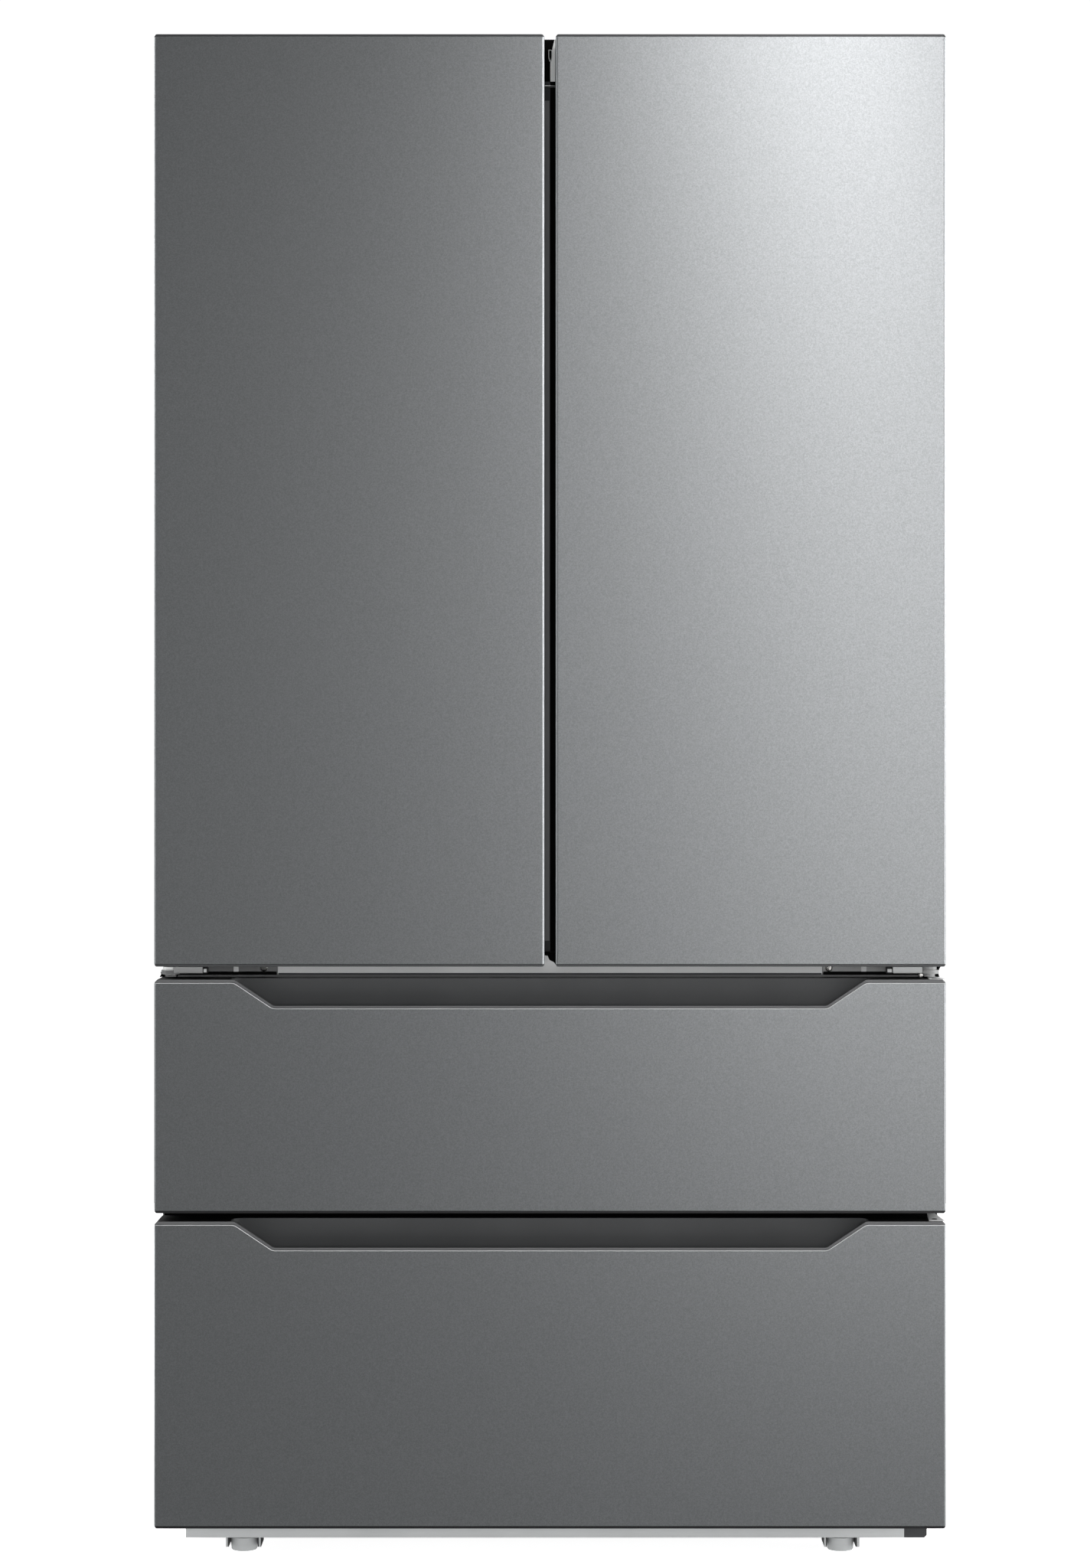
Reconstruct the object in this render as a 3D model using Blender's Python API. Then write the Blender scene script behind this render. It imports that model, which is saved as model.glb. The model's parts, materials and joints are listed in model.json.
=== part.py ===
"""French door refrigerator: two doors over two freezer drawers, with pocket handles.

Metres. +X is right, +Y is back, +Z is up, and the origin is on the floor under the middle.
Run it with: blender --background --python part.py
"""

import math

import bmesh
import bpy
from mathutils import Vector

# ------------------------------------------------------------------ driving dimensions
WIDTH = 0.912
DEPTH = 0.740
HEIGHT = 1.782
GAP = 0.0003  # running clearance between solids that touch

DOOR_THICK = 0.060
GASKET_THICK = 0.008
CASE_WIDTH = 0.906
CASE_TOP = 1.770
CASE_BOTTOM = 0.0445
WALL = 0.045  # insulated side wall
SHEET = 0.0012  # modelled thickness of the steel sheets
LINER = 0.002

FLOOR_GAP = 0.0418  # under the lower drawer
LOWER_FRONT_HEIGHT = 0.3533
DRAWER_GAP = 0.0096
UPPER_FRONT_HEIGHT = 0.2689
HINGE_GAP = 0.0150
DOOR_HEIGHT = 1.0733
CENTRE_GAP = 0.0128  # between the two doors

NOTCH_DEPTH = 0.0295  # pocket handle, from the top of the steel front
NOTCH_HALF_TOP = 0.3638
NOTCH_HALF_BOTTOM = 0.3196
NOTCH_RADIUS = 0.012
POCKET_REACH = 0.026  # finger room below the notch
POCKET_THICK = 0.030
RIM = 0.0030  # plastic rim showing inside the notch
LIP_TRIM = 0.0018  # the door caps' lips slope in by this much at their ends


# ------------------------------------------------------------------ derived places
FRONT = -DEPTH / 2
BACK = DEPTH / 2
DOOR_BACK = FRONT + DOOR_THICK
CASE_FRONT = DOOR_BACK + GASKET_THICK
CASE_BACK = BACK - 0.014
CASE_HALF = CASE_WIDTH / 2
HALF = WIDTH / 2

LOWER_Z = (FLOOR_GAP, FLOOR_GAP + LOWER_FRONT_HEIGHT)
UPPER_Z = (LOWER_Z[1] + DRAWER_GAP, LOWER_Z[1] + DRAWER_GAP + UPPER_FRONT_HEIGHT)
DOOR_Z = (UPPER_Z[1] + HINGE_GAP, UPPER_Z[1] + HINGE_GAP + DOOR_HEIGHT)

CAVITY_HALF = CASE_HALF - WALL  # hole in the foam
LINER_HALF = CAVITY_HALF - GAP - LINER  # clear half width inside a liner
FRESH_Z = (0.6995, 1.7220)
FRESH_BACK = 0.300
FREEZER_Z = (0.100, 0.652)
FREEZER_STEP = (0.110, 0.300)  # back of the low part, and the height of the step
FREEZER_BACK = 0.290
MACHINE_FRONT = 0.150
MACHINE_TOP = 0.262
MACHINE_HALF = 0.430

PIN_X = HALF - 0.016  # door hinge axis
PIN_Y = FRONT + 0.032
PIN_RADIUS = 0.0045
FLIPPER_AXIS = (-0.036, -0.2865)
FOOT_X = {-1: -0.359, 1: 0.341}  # front feet, left and right
ROLLER_X = 0.350
FOOT_Y = FRONT + 0.084
ROLLER_Y = 0.300
ROLLER_RADIUS = 0.019
SHELF_Z = (1.140, 1.410)
COVER_Z = 0.933
DOOR_BINS = {"lower": 0.990, "upper": 1.360}
CRISPER_FRONT = -0.165
SLIDE_Z = {"upper": 0.480, "lower": 0.200}

ARC_STEPS = 4
ROUND_STEPS = 24

# ------------------------------------------------------------------ materials
PAINTS = {
    "stainless": ((0.50, 0.51, 0.52), 0.34, 1.0),
    "case_paint": ((0.16, 0.165, 0.17), 0.45, 0.4),
    "dark_plastic": ((0.045, 0.047, 0.05), 0.5, 0.0),
    "grey_plastic": ((0.13, 0.133, 0.137), 0.45, 0.0),
    "light_grey": ((0.42, 0.43, 0.43), 0.45, 0.0),
    "black_plastic": ((0.012, 0.012, 0.013), 0.5, 0.0),
    "white_liner": ((0.82, 0.83, 0.83), 0.35, 0.0),
    "foam": ((0.75, 0.68, 0.45), 0.9, 0.0),
    "gasket": ((0.18, 0.18, 0.185), 0.6, 0.0),
    "steel_part": ((0.45, 0.46, 0.47), 0.4, 1.0),
    "black_steel": ((0.02, 0.02, 0.021), 0.45, 0.3),
    "glass": ((0.78, 0.86, 0.85), 0.08, 0.0),
    "clear_plastic": ((0.80, 0.86, 0.90), 0.2, 0.0),
    "aluminium_tube": ((0.62, 0.63, 0.64), 0.35, 1.0),
}


def paint(name):
    found = bpy.data.materials.get(name)
    if found:
        return found
    colour, roughness, metallic = PAINTS[name]
    made = bpy.data.materials.new(name)
    made.use_nodes = True
    shader = made.node_tree.nodes["Principled BSDF"]
    shader.inputs["Base Color"].default_value = (*colour, 1.0)
    shader.inputs["Roughness"].default_value = roughness
    shader.inputs["Metallic"].default_value = metallic
    made.diffuse_color = (*colour, 1.0)
    return made


# ------------------------------------------------------------------ shape tools
def link(name, data):
    obj = bpy.data.objects.new(name, data)
    bpy.context.scene.collection.objects.link(obj)
    return obj


def loft(name, loops, material, closed=False):
    """A solid skinned over loops with equal numbers of points: capped, or closed into a ring."""
    bm = bmesh.new()
    rings = [[bm.verts.new(point) for point in loop] for loop in loops]
    pairs = list(zip(rings, rings[1:]))
    if closed:
        pairs.append((rings[-1], rings[0]))
    else:
        bm.faces.new(rings[0])
        bm.faces.new(rings[-1])
    for low, high in pairs:
        for i in range(len(low)):
            j = (i + 1) % len(low)
            bm.faces.new((low[i], low[j], high[j], high[i]))
    bmesh.ops.recalc_face_normals(bm, faces=bm.faces)
    mesh = bpy.data.meshes.new(name)
    bm.to_mesh(mesh)
    bm.free()
    obj = link(name, mesh)
    if material:
        mesh.materials.append(paint(material))
    return obj


def rect_xz(x0, x1, z0, z1, y):
    return [(x0, y, z0), (x1, y, z0), (x1, y, z1), (x0, y, z1)]


def rect_xy(x0, x1, y0, y1, z):
    return [(x0, y0, z), (x1, y0, z), (x1, y1, z), (x0, y1, z)]


def box(name, x, y, z, material=None):
    return loft(name, [rect_xy(*x, *y, z[0]), rect_xy(*x, *y, z[1])], material)


def prism_y(name, outline, y0, y1, material=None):
    """An outline of (x, z) points, drawn out along Y."""
    return loft(name, [[(x, y, z) for x, z in outline] for y in (y0, y1)], material)


def prism_z(name, outline, z0, z1, material=None):
    """An outline of (x, y) points, drawn out along Z."""
    return loft(name, [[(x, y, z) for x, y in outline] for z in (z0, z1)], material)


def prism_x(name, outline, x0, x1, material=None):
    """An outline of (y, z) points, drawn out along X."""
    return loft(name, [[(x, y, z) for y, z in outline] for x in (x0, x1)], material)


def filleted(corners, steps=ARC_STEPS):
    """A closed outline of (x, y, radius) corners, with an arc at each corner that has a radius."""
    outline = []
    for i, (x, y, radius) in enumerate(corners):
        here = Vector((x, y))
        if not radius:
            outline.append((x, y))
            continue
        before = (Vector(corners[i - 1][:2]) - here).normalized()
        after = (Vector(corners[(i + 1) % len(corners)][:2]) - here).normalized()
        half = before.angle(after) / 2
        centre = here + (before + after).normalized() * radius / math.sin(half)
        start = here + before * radius / math.tan(half) - centre
        turn = math.pi - 2 * half
        if before.cross(after) > 0:
            turn = -turn
        for k in range(steps + 1):
            cos, sin = math.cos(turn * k / steps), math.sin(turn * k / steps)
            turned = Vector((start.x * cos - start.y * sin, start.x * sin + start.y * cos))
            outline.append(tuple(centre + turned))
    return outline


def circle(cx, cy, radius, steps=ROUND_STEPS):
    turns = [2 * math.pi * k / steps for k in range(steps)]
    return [(cx + radius * math.cos(a), cy + radius * math.sin(a)) for a in turns]


def turned_z(name, cx, cy, profile, material=None, steps=ROUND_STEPS):
    """A solid of revolution about a vertical axis, from (radius, z) points."""
    loops = [[(x, y, z) for x, y in circle(cx, cy, r, steps)] for r, z in profile]
    return loft(name, loops, material)


def tube_x(name, x0, x1, cy, cz, outer, inner, material=None):
    """A ring about an axis along X."""
    loops = []
    for x, radius in ((x0, outer), (x1, outer), (x1, inner), (x0, inner)):
        loops.append([(x, y, z) for y, z in circle(cy, cz, radius)])
    return loft(name, loops, material, closed=True)


def tray(name, low, high, wall, material, taper=0.0):
    """An open-topped bin. Its foot is narrower than its mouth by taper on each side."""
    (x0, y0, z0), (x1, y1, z1) = low, high
    loops = [
        rect_xy(x0 + taper, x1 - taper, y0 + taper, y1 - taper, z0),
        rect_xy(x0, x1, y0, y1, z1),
        rect_xy(x0 + wall, x1 - wall, y0 + wall, y1 - wall, z1),
        rect_xy(x0 + wall + taper, x1 - wall - taper, y0 + wall + taper, y1 - wall - taper, z0 + wall),
    ]
    return loft(name, loops, material)


def frame_ring(name, x, z, width, y, material):
    """A flat rectangular ring in the XZ plane."""
    (x0, x1), (z0, z1), (y0, y1) = x, z, y
    outer = [rect_xz(x0, x1, z0, z1, at) for at in (y0, y1)]
    inner = [rect_xz(x0 + width, x1 - width, z0 + width, z1 - width, at) for at in (y1, y0)]
    return loft(name, outer + inner, material, closed=True)


def combine(obj, operation, *others):
    """Boolean of obj with helpers, which stay hidden."""
    for other in others:
        modifier = obj.modifiers.new(other.name, "BOOLEAN")
        modifier.operation = operation
        modifier.object = other
        other.hide_render = True
        other.display_type = "WIRE"
    return obj


def cut(obj, *others):
    return combine(obj, "DIFFERENCE", *others)


def fuse(obj, *others):
    return combine(obj, "UNION", *others)


def smooth(obj, angle=35.0):
    obj.data.shade_smooth()
    obj.data.set_sharp_from_angle(angle=math.radians(angle))
    return obj


def axis_empty(name, place):
    """An empty on a joint's axis; the moving pieces hang from it."""
    empty = link(name, None)
    empty.location = place
    return empty


def carry(empty, *pieces):
    """Parents pieces to an empty and keeps them where they are."""
    for piece in pieces:
        piece.parent = empty
        piece.location = Vector(piece.location) - Vector(empty.location)


def span(side, near, far):
    """An x range on one side of the middle: side is -1 or +1, near and far are distances from it."""
    return tuple(sorted((side * near, side * far)))


# ------------------------------------------------------------------ cabinet
def cabinet_wrapper():
    """Folded steel: two sides and a top, with a flange turned in round the front."""
    top, half, bend = CASE_TOP, CASE_HALF, 0.004
    outer = [(-half, CASE_BOTTOM, 0), (half, CASE_BOTTOM, 0), (half, top, bend), (-half, top, bend)]
    inner_half = half - SHEET
    inner = [
        (-inner_half, CASE_BOTTOM - 0.01, 0),
        (inner_half, CASE_BOTTOM - 0.01, 0),
        (inner_half, top - SHEET, bend - SHEET),
        (-inner_half, top - SHEET, bend - SHEET),
    ]
    wrapper = prism_y("cabinet_wrapper", filleted(outer), CASE_FRONT, CASE_BACK - SHEET - GAP, "case_paint")
    hollow = prism_y("cut_wrapper", filleted(inner), CASE_FRONT + SHEET, CASE_BACK + 0.01)
    through = (CASE_FRONT - 0.01, CASE_FRONT + 0.01)
    fresh = box("cut_wrapper_fresh", (-CAVITY_HALF, CAVITY_HALF), through, FRESH_Z)
    freezer = box("cut_wrapper_freezer", (-CAVITY_HALF, CAVITY_HALF), through, FREEZER_Z)
    return smooth(cut(wrapper, hollow, fresh, freezer))


def freezer_outline(inset, front):
    """The stepped side view of the freezer space, as (y, z) points, drawn in from the foam by inset."""
    step_back, step_top = FREEZER_STEP
    low, high = FREEZER_Z[0] + inset, FREEZER_Z[1] - inset
    return [
        (front, low),
        (step_back - inset, low),
        (step_back - inset, step_top + inset),
        (FREEZER_BACK - inset, step_top + inset),
        (FREEZER_BACK - inset, high),
        (front, high),
    ]


def cabinet_foam():
    half, top, corner = CASE_HALF - SHEET - GAP, CASE_TOP - SHEET - GAP, 0.0028
    outline = [(-half, CASE_BOTTOM, 0), (half, CASE_BOTTOM, 0), (half, top, corner), (-half, top, corner)]
    front, back = CASE_FRONT + SHEET + GAP, CASE_BACK - SHEET - 2 * GAP
    foam = prism_y("cabinet_foam", filleted(outline), front, back, "foam")
    past = CASE_FRONT - 0.02
    fresh = box("cut_fresh", (-CAVITY_HALF, CAVITY_HALF), (past, FRESH_BACK), FRESH_Z)
    freezer = prism_x("cut_freezer", freezer_outline(0, past), -CAVITY_HALF, CAVITY_HALF)
    machine = box(
        "cut_machine",
        (-MACHINE_HALF, MACHINE_HALF),
        (MACHINE_FRONT, CASE_BACK + 0.02),
        (CASE_BOTTOM - 0.02, MACHINE_TOP),
    )
    return cut(foam, fresh, freezer, machine)


def fresh_food_liner():
    """White moulded box with ledges for the shelves."""
    half, z0, z1 = CAVITY_HALF - GAP, FRESH_Z[0] + GAP, FRESH_Z[1] - GAP
    front, back = CASE_FRONT, FRESH_BACK - GAP
    inner = (-half + LINER, half - LINER, z0 + LINER, z1 - LINER)
    loops = [
        rect_xz(-half, half, z0, z1, back),
        rect_xz(-half, half, z0, z1, front),
        rect_xz(*inner, front),
        rect_xz(*inner, back - LINER),
    ]
    liner = loft("fresh_food_liner", loops, "white_liner")
    ledges = []
    for level in (*SHELF_Z, COVER_Z):
        for side in (-1, 1):
            x = span(side, LINER_HALF - 0.010, half - 0.001)
            ledges.append(box(f"ledge_{len(ledges)}", x, (-0.140, 0.285), (level - 0.008, level - GAP)))
    return fuse(liner, *ledges)


def freezer_liner():
    """Stepped white box. Each drawer's telescopic slides run on ledges along its sides."""
    half = CAVITY_HALF - GAP
    liner = prism_x("freezer_liner", freezer_outline(GAP, CASE_FRONT), -half, half, "white_liner")
    clear = freezer_outline(GAP + LINER, CASE_FRONT - 0.02)
    cut(liner, prism_x("cut_freezer_liner", clear, -half + LINER, half - LINER))
    ledges = []
    for level in SLIDE_Z.values():
        for side in (-1, 1):
            x = span(side, 0.3925, half - 0.001)
            ledges.append(box(f"track_{len(ledges)}", x, (-0.245, 0.100), (level - 0.022, level - 0.0155)))
    fuse(liner, *ledges)
    notch = box(
        "cut_liner_crossbar",
        (-0.44, 0.44),
        (CASE_FRONT - 0.02, CASE_FRONT + 0.0525),
        (LOWER_Z[1] - 0.0258, UPPER_Z[0] + 0.0258),
    )
    return cut(liner, notch)


def rear_panel():
    return box(
        "rear_panel",
        (-CASE_HALF, CASE_HALF),
        (CASE_BACK - SHEET, CASE_BACK),
        (MACHINE_TOP + 0.002, CASE_TOP),
        "case_paint",
    )


def machine_cover():
    """Pressed cover over the compressor space, bulging back, with louvre slots."""
    x1, z0, z1 = CASE_HALF, CASE_BOTTOM + 0.002, MACHINE_TOP + 0.001
    lip, slope, thick = 0.030, 0.012, 0.002
    sheet, deep = CASE_BACK - SHEET, BACK

    def ring(inset, y):
        return rect_xz(-x1 + inset, x1 - inset, z0 + inset, z1 - inset, y)

    loops = [
        ring(0, sheet),
        ring(0, sheet + thick),
        ring(lip, sheet + thick),
        ring(lip + slope, deep),
        ring(lip + slope + thick, deep - thick),
        ring(lip + thick, sheet),
    ]
    cover = loft("machine_cover", loops, "black_steel", closed=True)
    inset = lip + slope
    x, z = (-x1 + inset, x1 - inset), (z0 + inset, z1 - inset)
    fuse(cover, box("machine_back", x, (deep - thick, deep), z))
    slots = []
    for row in range(4):
        for column in (-1, 0, 1):
            x, z = column * 0.250, z0 + 0.062 + row * 0.024
            name = f"cut_louvre_{row}_{column + 1}"
            slots.append(box(name, (x - 0.100, x + 0.100), (deep - 0.006, deep + 0.006), (z, z + 0.008)))
    return cut(cover, *slots)


def base_frame():
    """Steel floor pan with a stepped-down apron, foot brackets, roller brackets and their axles."""
    half, top = 0.4457, CASE_BOTTOM - GAP
    left, right, low, high = -0.4245, 0.4396, 0.0197, 0.0402
    pan = box("base_frame", (-half, half), (-0.3045, CASE_BACK - 0.004), (0.0415, top), "dark_plastic")
    face = [(left, low), (right - 0.003, low), (right, low + 0.003), (right, high), (left, high)]
    added = [
        prism_y("apron", face, -0.3155, -0.3125),
        box("apron_flange", (left, right), (-0.3155, -0.3015), (0.0375, high)),
        box("apron_riser", (left, right), (-0.3045, -0.3015), (0.0375, top)),
    ]
    foot_y, roller_y = (-0.303, -0.264), (ROLLER_Y - 0.012, ROLLER_Y + 0.012)
    holes = []
    for side in (-1, 1):
        centre = FOOT_X[side]
        for x0, x1 in ((-0.0200, -0.0168), (0.0168, 0.0210)):
            name = f"foot_bracket_{len(added)}"
            added.append(box(name, (centre + x0, centre + x1), foot_y, (0.0062, 0.043)))
        stem = [(0.0055, 0.03), (0.0055, 0.05)]
        holes.append(turned_z(f"cut_foot_hole_{len(holes)}", centre, FOOT_Y, stem))
        centre = side * ROLLER_X
        for x0, x1 in ((-0.0160, -0.0130), (0.0130, 0.0160)):
            name = f"roller_bracket_{len(added)}"
            added.append(box(name, (centre + x0, centre + x1), roller_y, (0.011, 0.043)))
        axle = circle(ROLLER_Y, ROLLER_RADIUS, 0.004, 12)
        added.append(prism_x(f"axle_{len(added)}", axle, centre - 0.0185, centre + 0.0185))
    return cut(fuse(pan, *added), *holes)


def toe_grille():
    return box("toe_grille", (-0.4247, 0.4131), (-0.3172, -0.3158), (0.0201, 0.0400), "light_grey")


def center_rail():
    """Trim strip under the doors, with a tab that stands up between their gaskets."""
    depth = (CASE_FRONT - 0.0035, CASE_FRONT - GAP)
    rail = box("center_rail", (-0.3186, 0.3186), depth, (0.6760, 0.6918), "light_grey")
    return fuse(rail, box("rail_tab", (-0.0112, 0.0112), depth, (0.6900, 0.6992)))


def freezer_crossbar():
    return box(
        "freezer_crossbar",
        (-CAVITY_HALF + GAP, CAVITY_HALF - GAP),
        (CASE_FRONT, CASE_FRONT + 0.0515),
        (LOWER_Z[1] - 0.0250, UPPER_Z[0] + 0.0250),
        "black_plastic",
    )


def flipper_guide():
    """Grooved block under the ceiling that turns the flipper, with a tab on the case front."""
    z0, z1 = 1.7160, FRESH_Z[1] - GAP - LINER - GAP
    block = box("flipper_guide", (-0.026, 0.026), (-0.2995, -0.250), (z0, z1), "light_grey")
    groove = box("cut_guide_groove", (-0.0175, -0.0065), (-0.310, -0.272), (z0 - 0.01, z1 - 0.0008))
    cut(block, groove)
    tab = prism_y(
        "guide_tab",
        [(0.0004, z0), (0.0062, z0), (0.0062, 1.7600), (0.0048, 1.7600), (0.0004, 1.7460)],
        CASE_FRONT - 0.0045,
        CASE_FRONT - GAP,
    )
    neck = box("guide_neck", (0.0004, 0.0062), (CASE_FRONT - 0.0045, -0.290), (z0, z1))
    return fuse(block, neck, tab)


def top_hinge(side, name):
    """Cranked plate screwed to the case top, with the pin that goes down into the door."""
    plate_low, plate_high = CASE_TOP + GAP, CASE_TOP + 0.0033
    arm_low, arm_high = 1.7632, 1.7662
    x, y, nose = side * PIN_X, PIN_Y, 0.011
    plate = box(name, span(side, 0.390, 0.448), (-0.3085, -0.225), (plate_low, plate_high), "steel_part")
    bend = (-0.3085, CASE_FRONT - GAP)
    riser = box(f"{name}_riser", span(side, 0.424, 0.448), bend, (arm_low, plate_high))
    arm = box(f"{name}_arm", (x - nose, x + nose), (y, CASE_FRONT - GAP), (arm_low, arm_high))
    round_nose = turned_z(f"{name}_nose", x, y, [(nose, arm_low), (nose, arm_high)])
    profile = [(PIN_RADIUS - 0.001, 1.7450), (PIN_RADIUS, 1.7465), (PIN_RADIUS, arm_high - 0.001)]
    pin = turned_z(f"{name}_pin", x, y, profile, steps=16)
    return fuse(plate, riser, arm, round_nose, pin)


def hinge_cover(side, name):
    """Plastic cap over the hinge plate, open underneath, with a sloping nose."""
    low = CASE_TOP + GAP
    outline = [
        (-0.3010, low),
        (-0.3010, 1.7752),
        (-0.2620, HEIGHT),
        (-0.2050, HEIGHT),
        (-0.2000, HEIGHT - 0.004),
        (-0.2000, low),
    ]
    cap = prism_x(name, outline, *span(side, 0.3820, 0.4520), "dark_plastic")
    inside = span(side, 0.3850, 0.4495)
    seat = box(f"cut_{name}_seat", inside, (-0.3200, -0.2155), (low - 0.01, 1.7740))
    hollow = box(f"cut_{name}", inside, (-0.2620, -0.2155), (low - 0.01, HEIGHT - 0.002))
    return cut(cap, seat, hollow)


def middle_hinge(side, name):
    """Bracket on the case front under a door: wall plate, forward arm, bush and pin."""
    low, high = 0.6782, 0.6918
    arm_low, arm_high = 0.6790, 0.6832
    x, y, nose = side * PIN_X, PIN_Y, 0.011
    depth = (CASE_FRONT - 0.0032, CASE_FRONT - GAP)
    wall = box(name, span(side, 0.3192, 0.4400), depth, (low, high), "steel_part")
    arm = box(f"{name}_arm", span(side, 0.3990, PIN_X + nose), (y, CASE_FRONT - 0.001), (arm_low, arm_high))
    round_nose = turned_z(f"{name}_nose", x, y, [(nose, arm_low), (nose, arm_high)])
    profile = [
        (0.0065, 0.6755),
        (0.0065, arm_low + 0.001),
        (0.0085, arm_low + 0.001),
        (0.0085, 0.6872),
        (PIN_RADIUS, 0.6872),
        (PIN_RADIUS, 0.7020),
        (PIN_RADIUS - 0.001, 0.7035),
    ]
    pin = turned_z(f"{name}_pin", x, y, profile, steps=16)
    return fuse(wall, arm, round_nose, pin)


# ------------------------------------------------------------------ inside the cabinet
def compressor():
    """Hermetic pot on a foot plate."""
    cx, cy, z = -0.235, 0.252, CASE_BOTTOM
    profile = [
        (0.060, z + 0.012),
        (0.078, z + 0.024),
        (0.082, z + 0.060),
        (0.084, z + 0.090),
        (0.080, z + 0.135),
        (0.062, z + 0.160),
        (0.030, z + 0.170),
    ]
    pot = turned_z("compressor", cx, cy, profile, "black_steel")
    foot = box("compressor_foot", (cx - 0.105, cx + 0.105), (cy - 0.060, cy + 0.060), (z + GAP, z + 0.014))
    return smooth(fuse(pot, foot))


def evaporator_coil():
    """Serpentine tube behind the freezer's rear cover."""
    runs, pitch, half, y, low = 7, 0.040, 0.300, 0.262, 0.345
    bend = pitch / 2
    points = []
    for run in range(runs):
        z, way = low + run * pitch, 1 if run % 2 == 0 else -1
        points.append((-way * half, y, z))
        points.append((way * half, y, z))
        if run < runs - 1:
            for k in range(1, 4):
                a = -math.pi / 2 + math.pi * k / 4
                points.append((way * (half + bend * math.cos(a)), y, z + bend + bend * math.sin(a)))
    curve = bpy.data.curves.new("evaporator_coil", "CURVE")
    curve.dimensions = "3D"
    spline = curve.splines.new("POLY")
    spline.points.add(len(points) - 1)
    for slot, point in zip(spline.points, points):
        slot.co = (*point, 1.0)
    curve.bevel_depth = 0.0045
    curve.bevel_resolution = 2
    curve.use_fill_caps = True
    curve.materials.append(paint("aluminium_tube"))
    return link("evaporator_coil", curve)


def evaporator_cover():
    cover = box(
        "evaporator_cover",
        (-LINER_HALF + GAP, LINER_HALF - GAP),
        (0.226, 0.230),
        (FREEZER_STEP[1] + LINER + 2 * GAP, FREEZER_Z[1] - LINER - 2 * GAP),
        "white_liner",
    )
    vents = []
    for i in range(3):
        z = 0.590 + i * 0.016
        vents.append(box(f"cut_vent_{i}", (-0.12, 0.12), (0.22, 0.24), (z, z + 0.007)))
    return cut(cover, *vents)


def shelf(name, level):
    half = LINER_HALF - 0.0012
    return box(name, (-half, half), (-0.150, 0.285), (level, level + 0.005), "glass")


def crisper_cover():
    half = LINER_HALF - 0.0012
    return box("crisper_cover", (-half, half), (CRISPER_FRONT, 0.285), (COVER_Z, COVER_Z + 0.005), "glass")


def crisper(side, name):
    x0, x1 = span(side, 0.006, LINER_HALF - 0.006)
    low, high = (x0, CRISPER_FRONT, FRESH_Z[0] + LINER + 2 * GAP), (x1, 0.215, 0.921)
    return tray(name, low, high, 0.003, "clear_plastic", 0.004)


# ------------------------------------------------------------------ fronts
def steel_front(name, x, z):
    """Folded stainless sheet: a flat front with its two sides bent back."""
    (x0, x1), bend = x, 0.003
    y0, y1 = FRONT, FRONT + 0.052
    outline = filleted(
        [
            (x0, y1, 0),
            (x0, y0, bend),
            (x1, y0, bend),
            (x1, y1, 0),
            (x1 - SHEET, y1, 0),
            (x1 - SHEET, y0 + SHEET, bend - SHEET),
            (x0 + SHEET, y0 + SHEET, bend - SHEET),
            (x0 + SHEET, y1, 0),
        ]
    )
    return smooth(prism_z(name, outline, z[0], z[1], "stainless"))


def notch_outline(top, bottom, half_top, half_bottom, radius, above=0.02):
    """The handle notch seen from the front, as (x, z) points, running on past the top edge."""
    slope_angle = math.atan2(top - bottom, half_top - half_bottom)
    flare = radius * math.tan(slope_angle / 2)
    half = half_top + flare + 0.0005
    return filleted(
        [
            (-half, top + above, 0),
            (-half, top, 0),
            (-half_top, top, radius),
            (-half_bottom, bottom, radius),
            (half_bottom, bottom, radius),
            (half_top, top, radius),
            (half, top, 0),
            (half, top + above, 0),
        ]
    )


def plug_plan(x, z):
    """Horizontal section of a block that fits inside a steel front, with its front corners rounded."""
    inset, bend = SHEET + GAP, 0.0018
    x0, x1 = x[0] + inset, x[1] - inset
    corners = [(x0, DOOR_BACK, 0), (x0, FRONT + inset, bend), (x1, FRONT + inset, bend), (x1, DOOR_BACK, 0)]
    return [(px, py, z) for px, py in filleted(corners)]


def brim_plan(x, z, trim=0.0):
    """Horizontal section of the lip that covers a steel front's edge, shortened by trim at both ends."""
    (x0, x1), y0, y1, bend = x, FRONT + 0.0006, DOOR_BACK - 0.0005, 0.0026
    x0, x1 = x0 + trim, x1 - trim
    corners = [(x0, y1, 0), (x0, y0, bend), (x1, y0, bend), (x1, y1, 0)]
    return [(px, py, z) for px, py in filleted(corners)]


def end_cap(name, x, z, lip, up):
    """Plastic cap on a door's end: a plug inside the steel and a lip over its edge."""
    low, high = z
    if up:
        edge = high - lip
        loops = [plug_plan(x, low), plug_plan(x, edge), brim_plan(x, edge), brim_plan(x, high, LIP_TRIM)]
    else:
        edge = low + lip
        loops = [brim_plan(x, low, LIP_TRIM), brim_plan(x, edge), plug_plan(x, edge), plug_plan(x, high)]
    return loft(name, loops, "dark_plastic")


def hinge_bore(name, side, z0, z1):
    radius = PIN_RADIUS + 0.0005
    return turned_z(name, side * PIN_X, PIN_Y, [(radius, z0), (radius, z1)], steps=16)


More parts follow.
